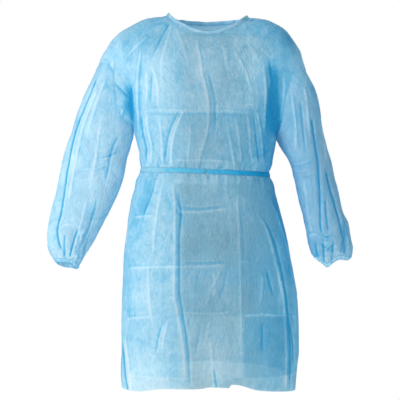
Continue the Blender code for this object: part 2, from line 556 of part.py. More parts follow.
def main():
    for obj in list(bpy.data.objects):
        bpy.data.objects.remove(obj, do_unlink=True)
    collection = bpy.data.collections.new(NAME)
    bpy.context.scene.collection.children.link(collection)
    blue = (0.42, 0.66, 0.78)
    pale = (0.50, 0.74, 0.86)
    deep = (0.30, 0.55, 0.72)

    front = body_grid("front")
    back = body_grid("back")
    seams = len(SIDE["z_left"]) - 1
    sleeve_r, along_r = sleeve_grid(SLEEVE_RIGHT, front[seams:, 0], back[seams:, 0])
    sleeve_l, along_l = sleeve_grid(SLEEVE_LEFT, front[seams:, -1], back[seams:, -1])
    n_front = grid_normals(front, False, False)
    n_back = grid_normals(back, False, True)
    n_sr = grid_normals(sleeve_r, True, False)
    n_sl = grid_normals(sleeve_l, True, True)
    if np.mean(n_sr[8:, 6, 1]) > 0:
        n_sr = -n_sr
    if np.mean(n_sl[8:, 6, 1]) > 0:
        n_sl = -n_sl
    own = [n.copy() for n in (n_front, n_back, n_sr, n_sl)]
    share_normals([(front, n_front), (back, n_back), (sleeve_r, n_sr), (sleeve_l, n_sl)])
    for n, kept in zip((n_front, n_back), own):
        for k in (1, 2):
            n[seams + k, 0] = unit(kept[seams + k, 0] + kept[seams + k, 1])
            n[seams + k, -1] = unit(kept[seams + k, -1] + kept[seams + k, -2])
        n[seams, 0] = (-1.0, 0.0, 0.0)
        n[seams, -1] = (1.0, 0.0, 0.0)
    for n, kept in zip((n_sr, n_sl), own[2:]):
        for k in (-2, -1, 0, 1, 2):
            n[0, k] = kept[0, k]

    for grid, normal, folds in ((front, n_front, FRONT_FOLDS), (back, n_back, BACK_FOLDS)):
        rise = relief(grid[:, :, 0], grid[:, :, 2], folds)
        rows, cols = rise.shape
        waves = np.where(np.arange(cols) % 2 == 0, 1.0, -1.0)[None, :]
        reach = np.zeros(rows)
        reach[BELT_ROW - 1] = 1.0
        reach[BELT_ROW - 2] = 0.45
        reach[BELT_ROW + 2] = 1.0
        reach[BELT_ROW + 3] = 0.45
        rise = rise + WAIST_GATHER * waves * reach[:, None]
        hold = np.ones((rows, cols))
        hold[:, 0] = 0
        hold[:, -1] = 0
        hold[:, 1] = 0.5
        hold[:, -2] = 0.5
        hold[-1] = 0
        hold[-2] = 0.5
        hold[BELT_ROW] = 0
        hold[BELT_ROW + 1] = 0
        grid += normal * (rise * hold)[:, :, None]

    for grid, normal, t in ((sleeve_r, n_sr, along_r), (sleeve_l, n_sl, along_l)):
        count = grid.shape[1]
        waves = np.where(np.arange(count) % 2 == 0, 1.0, -1.0)
        reach = smooth((t - 0.80) / 0.20)
        grid += normal * (0.0015 * reach[:, None] * waves[None, :])[:, :, None]

    wall_front = wall_depths(front, seams)
    wall_back = wall_depths(back, seams)
    edge = draw_in(front, ("left", "right", "top"), SEAM_SPACE)
    shell("front", edge, edge - n_front * wall_front, False, collection, blue)

    columns = back.shape[1]
    centre = columns // 2
    x = back[:, :, 0]
    near_neck = smooth((back[:, :, 2] + 0.10) / 0.07)
    lift = OVERLAP_LIFT + (NECK_OVERLAP_LIFT - OVERLAP_LIFT) * near_neck
    lift = lift * smooth((0.112 - x) / 0.032)
    over = back + n_back * lift[:, :, None]
    over_edge = draw_in(over, ("right", "top"), SEAM_SPACE)
    under_edge = draw_in(back, ("left", "top"), SEAM_SPACE)
    cut = slice(centre - OVERLAP_COLUMNS, columns)
    part = over_edge[:, cut]
    shell("back_left", part, part - n_back[:, cut] * wall_back[:, cut], False, collection, blue)
    cut = slice(0, centre + OVERLAP_COLUMNS + 1)
    part = under_edge[:, cut]
    shell("back_right", part, part - n_back[:, cut] * wall_back[:, cut], False, collection, blue)

    for name, grid, normal, end in (("right", sleeve_r, n_sr, CUFF_RIGHT_END), ("left", sleeve_l, n_sl, CUFF_LEFT_END)):
        part = draw_in(grid, ("bottom", "top"), SEAM_SPACE)
        near = np.clip(np.cos(2 * math.pi * np.arange(grid.shape[1]) / grid.shape[1]), 0, 1) ** 4
        for k, share in ((0, 1.0), (1, 0.6), (2, 0.2)):
            part[k] = part[k] - normal[k] * (UNDERARM_SPACE * share * near)[:, None]
        shell("sleeve_" + name, part, part - normal * WALL, True, collection, pale)
        count = grid.shape[1]
        turn = 2 * math.pi * np.arange(count) / count
        waves = np.where(np.arange(count) % 2 == 0, 1.0, -1.0)
        rim = ring_points(end, turn)
        rim_out = unit(rim - rim.mean(axis=0))
        rim = rim + rim_out * (CUFF_GATHER * waves)[:, None]
        mid = (grid[-1] * 0.5 + rim * 0.5)
        cuff = np.stack([grid[-1], mid, rim])
        n_cuff = np.stack([normal[-1], unit(normal[-1] + rim_out), rim_out])
        cuff = draw_in(cuff, ("bottom",), SEAM_SPACE)
        shell("cuff_" + name, cuff, cuff - n_cuff * WALL, True, collection, deep)

    belt_lo = BELT_ROW
    belt_hi = BELT_ROW + 1
    half = front.shape[1] // 2
    ring = [(front, n_front, j) for j in range(half, front.shape[1])]
    ring += [(over, n_back, j) for j in range(back.shape[1] - 2, centre - 1, -1)]
    build_belt("belt_left", ring, belt_lo, belt_hi, collection, deep)
    ring = [(front, n_front, j) for j in range(half, -1, -1)]
    ring += [(over if j >= centre - OVERLAP_COLUMNS - 2 else back, n_back, j) for j in range(1, centre + 1)]
    build_belt("belt_right", ring, belt_lo, belt_hi, collection, deep)

    tied = (("belt", BELT_KNOT_Z, (0.0125, 0.0080, 0.0095), OVERLAP_LIFT + LAY_SPACE + TAPE_WALL, 0.0130, (0.290, 0.265)),
            ("neck", NECK_KNOT_Z, (0.0095, 0.0065, 0.0070), NECK_OVERLAP_LIFT, 0.0080, (0.150, 0.135)))
    for kind, knot_z, size, lifted, width, lengths in tied:
        knot_y = rest_depth(knot_z, size) + lifted + KNOT_SPACE
        knot(kind + "_knot", (0.0, knot_y, knot_z), size, collection, deep)
        for side, sign, length in (("left", 1.0, lengths[0]), ("right", -1.0, lengths[1])):
            t = np.linspace(0, 1, 10) ** 1.25
            cx = sign * (width / 2 + 0.0005 + 0.024 * smooth(t * 1.3)) + 0.002 * np.sin(t * 5.0)
            cz = knot_z - size[2] - 0.0004 - length * t
            near = half_depth(cx, cz, "back") + lifted + TAIL_SPACE
            cy = near + (knot_y - near) * (1 - smooth(t * length / 0.035))
            line = np.stack([cx, cy, cz], axis=1)
            run = unit(np.gradient(line, axis=0))
            out = unit(np.cross(run, np.array([1.0, 0.0, 0.0])))
            out = np.where(out[:, 1:2] < 0, -out, out)
            across = unit(np.cross(out, run))
            name = "belt_tail_" + side if kind == "belt" else "neck_tie_" + side
            tape(name, line, across, out, width, collection, deep)

    # The band follows the neckline from the free edge of one back panel round to that of the other.
    neck = slice(SHOULDER_COLUMNS, SHOULDER_COLUMNS + FRONT_NECK_COLUMNS + 1)
    first = SHOULDER_COLUMNS
    last = SHOULDER_COLUMNS + BACK_NECK_COLUMNS
    right_back = slice(first + 1, centre + OVERLAP_COLUMNS + 1)
    left_back = slice(centre - OVERLAP_COLUMNS, last)
    edge = np.concatenate([back[-1, right_back][::-1], front[-1, neck], over[-1, left_back][::-1]])
    out = np.concatenate([n_back[-1, right_back][::-1], n_front[-1, neck], n_back[-1, left_back][::-1]])
    binding(edge, out, collection, deep)


def build_belt(name, ring, low, high, collection, color):
    lower = np.array([g[low, j] + n[low, j] * LAY_SPACE for g, n, j in ring])
    upper = np.array([g[high, j] + n[high, j] * LAY_SPACE for g, n, j in ring])
    out = np.array([unit(n[low, j] + n[high, j]) for g, n, j in ring])
    inner = np.stack([lower, upper])
    inner = draw_in(inner, ("left", "right"), 0.0006)
    outer = inner + out[None] * TAPE_WALL
    shell(name, outer, inner, False, collection, color)


main()
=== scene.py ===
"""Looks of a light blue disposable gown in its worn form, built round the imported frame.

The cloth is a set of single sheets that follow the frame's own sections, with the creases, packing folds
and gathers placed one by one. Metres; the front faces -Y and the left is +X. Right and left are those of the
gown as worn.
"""
import math

import bpy
import numpy as np
from bpy.props import FloatProperty, FloatVectorProperty, IntProperty, PointerProperty
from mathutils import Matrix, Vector
from mathutils.bvhtree import BVHTree


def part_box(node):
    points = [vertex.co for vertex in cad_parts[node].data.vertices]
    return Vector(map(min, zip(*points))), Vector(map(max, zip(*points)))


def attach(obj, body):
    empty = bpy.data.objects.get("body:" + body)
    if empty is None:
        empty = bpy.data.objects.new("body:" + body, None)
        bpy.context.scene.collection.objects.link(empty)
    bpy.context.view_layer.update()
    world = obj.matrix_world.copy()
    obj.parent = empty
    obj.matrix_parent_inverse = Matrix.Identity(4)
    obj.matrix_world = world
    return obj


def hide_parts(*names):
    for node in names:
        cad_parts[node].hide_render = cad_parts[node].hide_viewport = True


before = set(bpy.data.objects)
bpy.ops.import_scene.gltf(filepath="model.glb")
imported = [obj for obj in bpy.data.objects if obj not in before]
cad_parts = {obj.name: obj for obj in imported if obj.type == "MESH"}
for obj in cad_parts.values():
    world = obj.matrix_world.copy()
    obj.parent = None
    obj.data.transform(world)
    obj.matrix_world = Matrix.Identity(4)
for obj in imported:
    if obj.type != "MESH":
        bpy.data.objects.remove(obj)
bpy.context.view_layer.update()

bl_info = {
    "name": "Disposable Gown",
    "version": (1, 0, 0),
    "blender": (4, 5, 0),
    "location": "3D View > Sidebar > Gown",
    "description": "Sheets, tapes, cuffs and stitching of a disposable gown",
    "category": "Object",
}

# Grid of the frame's panels, and how many fine steps go into each of its cells.
SHOULDER_COLUMNS = 11
FRONT_NECK_COLUMNS = 18
BACK_NECK_COLUMNS = 10
ARMHOLE_ROWS = 12
OVERLAP_COLUMNS = 3
BELT_ROW = 11
COLUMN_STEPS = 6
SEAM_STEPS = 15
ARMHOLE_STEPS = 8
SLEEVE_RINGS = 180
CUFF_RINGS = 22
CUFF_PLEATS = 26
KNOT_STEPS = 40

# Roundness of the trunk's section, and how far under the shoulder line the cloth bends over: at the neck, at
# the tips.
BODY_POWER = 2.35
FRONT_BEND = (0.200, 0.085)
BACK_BEND = (0.100, 0.085)
# Height at which the rows reach the shoulder tips, and how far the trunk part runs past its side seams.
SHOULDER_LEVEL = -0.16
SIDE_MARGIN = 0.0003
# How far the left back panel stands off the right one, and the slant of the neck band.
OVERLAP_LIFT = 0.0022
NECK_OVERLAP_LIFT = 0.0034
BAND_LEAN = (0.56, 0.83)
# Gathers: how far they reach from the belt, how far along it they go, and the radius of a gathered sleeve.
GATHER_REACH = 0.13
GATHER_SPAN = (-0.315, 0.315)
SLEEVE_RADIUS = 0.055
# Free tape ends below their knots, left and right.
BELT_ENDS = (0.290, 0.265)
NECK_ENDS = (0.150, 0.135)
# Camera: place, and half the width that it sees at a distance of one metre.
CAMERA_PLACE = (-0.0246, -3.0, -0.566)
CAMERA_HALF_VIEW = 0.205
CAMERA_SENSOR = 36.0
LAMP_TARGET = (0.0, 0.0, -0.60)
WHITE = (1.0, 1.0, 1.0, 1.0)
# Points closer than a twentieth of a millimetre count as one on a seam.
WELD_STEPS = 20000
MM = 0.001

# Rows of the side seams from hem to underarm: z on the right and on the left side, x on both.
SIDE = {
    "z_right": (-1.138, -1.085, -1.020, -0.950, -0.880, -0.810, -0.745, -0.680, -0.620, -0.565, -0.512,
                -0.481, -0.467, -0.437, -0.405, -0.378, -0.3535),
    "z_left": (-1.144, -1.085, -1.020, -0.950, -0.880, -0.810, -0.745, -0.680, -0.620, -0.570, -0.524,
               -0.497, -0.483, -0.455, -0.425, -0.398, -0.3750),
    "x_right": (-0.2630, -0.2660, -0.2645, -0.2645, -0.2645, -0.2610, -0.2580, -0.2510, -0.2440, -0.2335,
                -0.2170, -0.2080, -0.2040, -0.2045, -0.2130, -0.2200, -0.2275),
    "x_left": (0.2675, 0.2705, 0.2770, 0.2770, 0.2740, 0.2650, 0.2510, 0.2410, 0.2270, 0.2130,
               0.2000, 0.1890, 0.1870, 0.1940, 0.2000, 0.2055, 0.2090),
}
SEAMS = len(SIDE["z_left"]) - 1
# The same places counted in fine rows, and the neck points in fine columns.
BELT_LOW = BELT_ROW * SEAM_STEPS
BELT_HIGH = (BELT_ROW + 1) * SEAM_STEPS
UNDERARM = SEAMS * SEAM_STEPS
SHOULDER = SHOULDER_COLUMNS * COLUMN_STEPS
OVERLAP = OVERLAP_COLUMNS * COLUMN_STEPS

# Armhole from underarm to shoulder tip, as (x, z), the same for front and back.
ARMHOLE_RIGHT = ((-0.2275, -0.3535), (-0.2345, -0.3395), (-0.2580, -0.3160), (-0.2755, -0.2800),
                 (-0.2810, -0.2430), (-0.2830, -0.2030), (-0.2870, -0.1740), (-0.2980, -0.1570),
                 (-0.3150, -0.1480), (-0.3336, -0.1476))
ARMHOLE_LEFT = ((0.2090, -0.3750), (0.2150, -0.3580), (0.2220, -0.3250), (0.2270, -0.2850),
                (0.2340, -0.2430), (0.2450, -0.2120), (0.2530, -0.1910), (0.2660, -0.1790),
                (0.2840, -0.1740), (0.3014, -0.1750))

# Shoulder line from one tip to the other; between the neck points it is the line the bend starts from.
RIDGE = ((-0.3336, -0.1476), (-0.3300, -0.1370), (-0.3230, -0.1200), (-0.3106, -0.1020), (-0.3010, -0.0860),
         (-0.2860, -0.0680), (-0.2645, -0.0490), (-0.2306, -0.0310), (-0.1876, -0.0120), (-0.1280, -0.0010),
         (-0.0600, 0.0200), (0.0000, 0.0270), (0.0600, 0.0170), (0.1260, -0.0085), (0.1690, -0.0130),
         (0.2150, -0.0310), (0.2400, -0.0490), (0.2550, -0.0680), (0.2675, -0.0860), (0.2800, -0.1060),
         (0.2870, -0.1260), (0.2930, -0.1450), (0.2985, -0.1640), (0.3014, -0.1750))
NECK_RIGHT = (-0.1280, -0.0010)
NECK_LEFT = (0.1260, -0.0085)
FRONT_NECKLINE = ((-0.1280, -0.0010), (-0.1165, -0.0150), (-0.1050, -0.0275), (-0.0820, -0.0430),
                  (-0.0540, -0.0590), (-0.0260, -0.0685), (0.0000, -0.0720), (0.0260, -0.0700),
                  (0.0460, -0.0640), (0.0670, -0.0535), (0.0890, -0.0400), (0.1070, -0.0260),
                  (0.1180, -0.0165), (0.1260, -0.0085))
BACK_NECKLINE = ((-0.1280, -0.0010), (-0.1180, -0.0045), (-0.0950, -0.0080), (-0.0480, -0.0110),
                 (0.0000, -0.0120), (0.0480, -0.0110), (0.0950, -0.0100), (0.1180, -0.0095),
                 (0.1260, -0.0085))
FRONT_HEM = ((-1.0, 0.0), (-0.8, 0.004), (-0.5, 0.018), (-0.1, 0.022), (0.0, 0.027), (0.3, 0.024),
             (0.6, 0.014), (0.8, 0.008), (1.0, 0.0))
BACK_HEM = ((-1.0, 0.0), (-0.94, 0.022), (-0.84, 0.042), (-0.55, 0.052), (0.0, 0.056), (0.55, 0.052),
            (0.84, 0.040), (0.94, 0.020), (1.0, 0.0))

# Body section by height: depth in front and behind.
TRUNK = {
    "z": (-1.144, -1.020, -0.880, -0.745, -0.640, -0.566, -0.510, -0.483, -0.440, -0.375, -0.3535,
          -0.326, -0.289, -0.252, -0.215, -0.178, -0.141, -0.105, -0.049, 0.030),
    "front": (0.148, 0.150, 0.150, 0.147, 0.144, 0.138, 0.129, 0.124, 0.130, 0.141, 0.143,
              0.145, 0.146, 0.145, 0.143, 0.139, 0.134, 0.128, 0.120, 0.110),
    "back": (0.140, 0.142, 0.143, 0.141, 0.138, 0.131, 0.121, 0.115, 0.119, 0.128, 0.131,
             0.134, 0.137, 0.138, 0.138, 0.135, 0.131, 0.127, 0.122, 0.116),
}
# Edges of the trunk part above the underarm, as (z, x); below it they are the side seams.
TRUNK_RIGHT_ABOVE = ((-0.326, -0.2245), (-0.289, -0.2275), (-0.252, -0.2370), (-0.215, -0.2520),
                     (-0.178, -0.2770), (-0.141, -0.3080), (-0.105, -0.3360), (-0.049, -0.3400), (0.030, -0.3400))
TRUNK_LEFT_ABOVE = ((-0.340, 0.2100), (-0.289, 0.2140), (-0.252, 0.2220), (-0.215, 0.2370), (-0.178, 0.2600),
                    (-0.141, 0.2850), (-0.105, 0.3050), (-0.049, 0.3100), (0.030, 0.3100))

# Swell of the cloth below the shoulder tips, by height: outer and inner edge on each side.
ARM_BULGE = {
    "z": (-0.380, -0.3535, -0.326, -0.289, -0.252, -0.215, -0.178, -0.141, -0.086, 0.030),
    "right_out": (-0.425, -0.4190, -0.4120, -0.3970, -0.3840, -0.3660, -0.3475, -0.3380, -0.3340, -0.3340),
    "right_in": (-0.235, -0.2275, -0.2150, -0.2000, -0.1920, -0.1860, -0.1830, -0.1800, -0.1800, -0.1800),
    "left_out": (0.3600, 0.3540, 0.3480, 0.3450, 0.3380, 0.3280, 0.3120, 0.3020, 0.3020, 0.3020),
    "left_in": (0.2080, 0.2020, 0.1930, 0.1830, 0.1750, 0.1690, 0.1660, 0.1650, 0.1650, 0.1650),
}
# Cloth stretched between the trunk part and that swell, just above the underarm.
BRIDGE_DEPTH = 0.056
BRIDGE_REACH = 0.060
BULGE_DEPTH = {"right": 0.064, "left": 0.080}
# Sleeve stations after the armhole: outer x z, inner x z, half depth, mid y, forward tilt of the ring.
SLEEVE_RIGHT = (
    (-0.3628, -0.2091, -0.2290, -0.3620, 0.0640, 0.000, 0.000),
    (-0.3874, -0.2614, -0.2306, -0.3750, 0.0640, 0.000, 0.000),
    (-0.4074, -0.3137, -0.2352, -0.3900, 0.0635, -0.001, 0.000),
    (-0.4228, -0.3660, -0.2399, -0.4090, 0.0625, -0.002, 0.000),
    (-0.4397, -0.4182, -0.2475, -0.4360, 0.0610, -0.004, 0.000),
    (-0.4520, -0.4766, -0.2552, -0.4766, 0.0600, -0.006, 0.000),
    (-0.4628, -0.5320, -0.2690, -0.5230, 0.0590, -0.009, 0.000),
    (-0.4751, -0.5812, -0.2875, -0.5720, 0.0570, -0.012, 0.001),
    (-0.4843, -0.6273, -0.3121, -0.6210, 0.0540, -0.015, 0.002),
    (-0.4889, -0.6703, -0.3336, -0.6610, 0.0490, -0.018, 0.004),
    (-0.4880, -0.7050, -0.3552, -0.7020, 0.0420, -0.020, 0.006),
    (-0.4800, -0.7290, -0.3767, -0.7340, 0.0340, -0.021, 0.008),
    (-0.4690, -0.7470, -0.3930, -0.7600, 0.0275, -0.022, 0.009),
)
SLEEVE_LEFT = (
    (0.3229, -0.2153, 0.2120, -0.3830, 0.0800, 0.000, 0.000),
    (0.3383, -0.2583, 0.2168, -0.3920, 0.0810, 0.000, 0.000),
    (0.3475, -0.3044, 0.2214, -0.4040, 0.0810, -0.001, 0.000),
    (0.3536, -0.3506, 0.2306, -0.4200, 0.0800, -0.003, 0.000),
    (0.3629, -0.3998, 0.2445, -0.4400, 0.0780, -0.006, 0.000),
    (0.3752, -0.4428, 0.2552, -0.4640, 0.0760, -0.010, 0.000),
    (0.3844, -0.4920, 0.2629, -0.4980, 0.0740, -0.014, 0.000),
    (0.3967, -0.5351, 0.2721, -0.5380, 0.0720, -0.018, 0.000),
    (0.4044, -0.5750, 0.2814, -0.5780, 0.0700, -0.022, 0.000),
    (0.4120, -0.6030, 0.2891, -0.6060, 0.0680, -0.025, 0.000),
    (0.4259, -0.6335, 0.2952, -0.6400, 0.0650, -0.028, -0.002),
    (0.4320, -0.6765, 0.3029, -0.6800, 0.0600, -0.031, -0.005),
    (0.4366, -0.7100, 0.3121, -0.7150, 0.0500, -0.033, -0.009),
    (0.4360, -0.7290, 0.3190, -0.7340, 0.0420, -0.034, -0.012),
)
# Cuff end: outer x z, inner x z, half depth, mid y, tilt.
CUFF_RIGHT_END = (-0.4630, -0.7590, -0.3985, -0.7730, 0.0255, -0.022, 0.010)
CUFF_LEFT_END = (0.4310, -0.7420, 0.3260, -0.7460, 0.0370, -0.034, -0.014)


# Creases in millimetres: name, height, width towards the left or below, width towards the right or above,
# how much of the length fades at the start and at the end, then x, z pairs. Heights below zero sink in.
FRONT_CREASES = (
    ("centre_crease", 4.2, 15, 6, 0.12, 0.10, (-39, -87, -32, -112, -23, -158, -20, -188, -11, -229, -1,
     -279, 1, -309, -1, -344, -7, -381, -22, -425, -28, -460)),
    ("centre_hollow", -2.6, 7, 18, 0.20, 0.25, (-7, -173, 8, -229, 19, -282, 19, -338, 8, -390)),
    ("left_crease_chest", 3.0, 8, 9, 0.10, 0.10, (-69, -297, -95, -355, -107, -398, -109, -433, -107,
     -471)),
    ("left_crease_chest_hollow", -2.2, 9, 6, 0.20, 0.20, (-83, -296, -113, -360, -125, -412, -128, -465)),
    ("neck_left_pull", 1.5, 10, 6, 0.10, 0.40, (-96, -50, -75, -109, -63, -161, -71, -214)),
    ("neck_left_pull_b", -2.0, 8, 8, 0.10, 0.40, (-115, -32, -143, -92, -172, -153)),
    ("neck_left_pull_c", 1.2, 7, 9, 0.10, 0.40, (-108, -39, -125, -105, -139, -171, -133, -225)),
    ("chest_right_ridge_a", 2.8, 7, 7, 0.20, 0.30, (70, -118, 96, -160, 114, -201, 123, -242)),
    ("chest_right_ridge_b", 2.2, 6, 8, 0.20, 0.30, (40, -105, 52, -149, 60, -190)),
    ("chest_right_ridge_c", 1.8, 6, 6, 0.20, 0.30, (112, -92, 135, -135, 159, -170)),
    ("shoulder_left_fold", 1.4, 10, 12, 0.30, 0.30, (-173, -73, -208, -104, -245, -143)),
    ("valley_left_band", 2.2, 6, 10, 0.15, 0.12, (-199, -110, -205, -157, -211, -209, -212, -266, -209,
     -320, -208, -368)),
    ("valley_left_dark", -6.0, 8, 6, 0.25, 0.15, (-231, -218, -229, -253, -228, -289, -228, -330)),
    ("valley_left_diag", 3.6, 6, 5, 0.15, 0.15, (-256, -289, -266, -319, -281, -358)),
    ("valley_left_cross", -2.6, 5, 5, 0.20, 0.20, (-286, -211, -262, -235, -238, -262)),
    ("arm_left_ridge", 2.4, 6, 7, 0.20, 0.30, (-286, -146, -289, -193, -288, -241)),
    ("chest_left_fan_a", 2.4, 6, 6, 0.25, 0.30, (-172, -159, -157, -200, -148, -248, -149, -295)),
    ("chest_left_fan_b", 2.0, 5, 6, 0.25, 0.30, (-184, -181, -182, -228, -185, -281)),
    ("chest_left_fan_c", -2.0, 6, 6, 0.25, 0.30, (-166, -182, -170, -235, -173, -287)),
    ("side_left_fold_a", 2.2, 6, 6, 0.20, 0.20, (-185, -304, -179, -358, -168, -417, -168, -464)),
    ("side_left_fold_b", -2.6, 5, 6, 0.20, 0.20, (-201, -303, -195, -363, -184, -422, -181, -464)),
    ("side_left_fold_c", 1.8, 5, 5, 0.20, 0.20, (-149, -312, -140, -365, -137, -418, -134, -471)),
    ("valley_right_wedge", -9.0, 10, 13, 0.30, 0.10, (174, -134, 186, -180, 194, -226, 200, -278, 203,
     -331)),
    ("valley_right_lip", 4.2, 10, 5, 0.25, 0.20, (159, -158, 168, -211, 171, -263, 169, -322, 166, -376)),
    ("valley_right_arm_lip", 2.0, 6, 8, 0.20, 0.20, (226, -190, 227, -237, 224, -278, 219, -320)),
    ("chest_right_low_a", 2.4, 5, 7, 0.20, 0.20, (114, -307, 120, -354, 123, -406, 130, -465)),
    ("chest_right_low_b", 2.6, 5, 7, 0.20, 0.20, (144, -300, 153, -347, 160, -405, 161, -470)),
    ("chest_right_low_c", -2.4, 5, 5, 0.20, 0.20, (132, -312, 138, -359, 145, -418, 148, -465)),
    ("chest_right_low_d", 2.0, 6, 6, 0.20, 0.20, (81, -320, 87, -372, 93, -419, 97, -465)),
    ("chest_mid_low_a", 1.8, 6, 6, 0.20, 0.20, (52, -332, 61, -378, 70, -425, 76, -471)),
    ("chest_mid_low_b", 1.8, 6, 7, 0.20, 0.20, (-54, -332, -54, -384, -60, -425, -60, -472)),
    ("pack_chest", 0.9, 3, 3.5, 0.10, 0.10, (-192, -299, -134, -300, -54, -304, 16, -304, 132, -308)),
    ("pack_chest_low", -1.1, 6, 4, 0.15, 0.15, (-185, -310, -83, -314, 16, -314, 123, -318)),
    ("pack_pocket_right", 1.6, 4, 6, 0.30, 0.30, (102, -296, 120, -283, 141, -288)),
    ("pack_waist_a", 1.7, 3, 3, 0.15, 0.15, (-104, -449, -25, -448, 61, -452)),
    ("pack_waist_b", 1.5, 2.5, 3, 0.15, 0.15, (-104, -477, -25, -475, 61, -477)),
    ("skirt_left_crease", 2.6, 8, 9, 0.08, 0.10, (-107, -513, -101, -554, -98, -598, -99, -689, -101,
     -830, -92, -894, -80, -961, -71, -1028, -68, -1119)),
    ("skirt_left_crease_dark", -4.2, 5, 6, 0.10, 0.05, (-89, -525, -86, -572, -80, -607, -86, -683, -86,
     -818, -74, -911, -60, -1005, -54, -1119)),
    ("skirt_left_notch", -3.0, 5, 5, 0.30, 0.30, (-98, -592, -83, -607, -72, -616)),
    ("skirt_left_wedge", -2.0, 8, 9, 0.15, 0.40, (-152, -495, -167, -542, -185, -590, -203, -643)),
    ("skirt_left_wedge_ridge", 1.8, 7, 8, 0.20, 0.40, (-134, -495, -143, -554, -154, -613, -163, -702,
     -166, -790)),
    ("skirt_left_flow", 2.0, 8, 9, 0.30, 0.30, (-172, -708, -178, -790, -172, -879, -160, -955)),
    ("skirt_left_low_hollow", -2.4, 8, 7, 0.30, 0.30, (-133, -918, -148, -972, -157, -1025)),
    ("skirt_left_low_ridge", 2.4, 6, 8, 0.30, 0.30, (-118, -912, -130, -965, -139, -1013)),
    ("side_left_fold", 3.6, 5, 8, 0.25, 0.02, (-251, -970, -244, -1022, -235, -1080, -228, -1139)),
    ("side_left_fold_dark", -4.0, 6, 5, 0.30, 0.02, (-260, -991, -254, -1049, -247, -1101, -241, -1142)),
    ("hem_pleat", -4.2, 4, 6, 0.35, 0.02, (13, -1051, 19, -1083, 27, -1127)),
    ("hem_pleat_ridge", 2.8, 5, 5, 0.35, 0.02, (-1, -946, 8, -1004, 12, -1069, 16, -1127)),
    ("skirt_mid_vertical", 2.4, 4, 5, 0.12, 0.20, (81, -537, 86, -601, 90, -683, 93, -765, 94, -859, 94,
     -946, 94, -1040)),
    ("skirt_mid_vertical_dark", -2.0, 4, 5, 0.20, 0.20, (96, -607, 102, -683, 104, -748)),
    ("skirt_right_line_a", 3.4, 5, 7, 0.12, 0.06, (135, -590, 150, -613, 171, -652, 189, -711, 204, -774,
     216, -827, 225, -878, 230, -982, 232, -1133)),
    ("skirt_right_line_a_dark", -3.4, 4, 5, 0.15, 0.06, (156, -607, 183, -658, 202, -715, 217, -778, 235,
     -879, 243, -984, 245, -1136)),
    ("skirt_right_line_b", 3.2, 5, 6, 0.20, 0.25, (179, -554, 204, -608, 232, -693, 249, -754, 253, -819)),
    ("skirt_right_line_b_dark", -3.4, 5, 5, 0.20, 0.25, (195, -554, 228, -615, 252, -695, 264, -763)),
    ("skirt_right_low", -2.6, 5, 6, 0.30, 0.20, (241, -918, 251, -985, 255, -1065)),
    ("skirt_right_blob", 2.6, 6, 7, 0.35, 0.35, (146, -766, 158, -807, 155, -854, 140, -889)),
    ("skirt_right_blob_dark", -2.6, 4, 5, 0.30, 0.30, (170, -761, 179, -808, 194, -856)),
    ("pack_hip", 2.2, 4, 3, 0.08, 0.08, (-95, -600, -48, -601, 5, -598, 58, -591)),
    ("pack_hip_dark", -2.0, 3, 3.5, 0.10, 0.10, (-83, -588, -25, -591, 40, -584)),
    ("pack_hip_left", 1.8, 3.5, 3, 0.15, 0.15, (-223, -619, -191, -614, -164, -613)),
    ("pack_thigh", 2.2, 4, 3, 0.08, 0.10, (-244, -771, -172, -764, -95, -761, -25, -760, 60, -756)),
    ("pack_thigh_dark", -1.8, 3, 3.5, 0.10, 0.10, (-71, -749, -13, -750, 51, -746)),
    ("pack_thigh_right", 2.2, 3.5, 3, 0.20, 0.20, (87, -751, 101, -746, 119, -748)),
    ("pack_low_left", 2.2, 3.5, 3, 0.12, 0.20, (-244, -922, -202, -914, -163, -909)),
    ("pack_low_mid", 2.4, 3.5, 3.5, 0.08, 0.08, (-80, -897, -36, -896, 16, -898, 66, -893)),
    ("pack_low_right", 2.0, 3.5, 3, 0.10, 0.10, (101, -903, 158, -903, 219, -910, 269, -917)),
    ("fan_a", 2.0, 5, 6, 0.20, 0.30, (37, -765, 16, -811, -4, -858, -13, -890)),
    ("fan_b", 1.8, 5, 5, 0.20, 0.30, (13, -771, 19, -811, 13, -858)),
    ("fan_c", -1.8, 6, 5, 0.20, 0.30, (51, -765, 46, -812, 22, -870)),
    ("fan_low_a", 1.8, 6, 5, 0.30, 0.30, (5, -911, -4, -957, -16, -1010)),
    ("fan_low_b", -1.6, 6, 5, 0.30, 0.30, (-25, -917, -30, -969, -42, -1022)),
    ("pack_panel_right", -2.4, 16, 16, 0.30, 0.30, (158, -919, 158, -1025)),
)
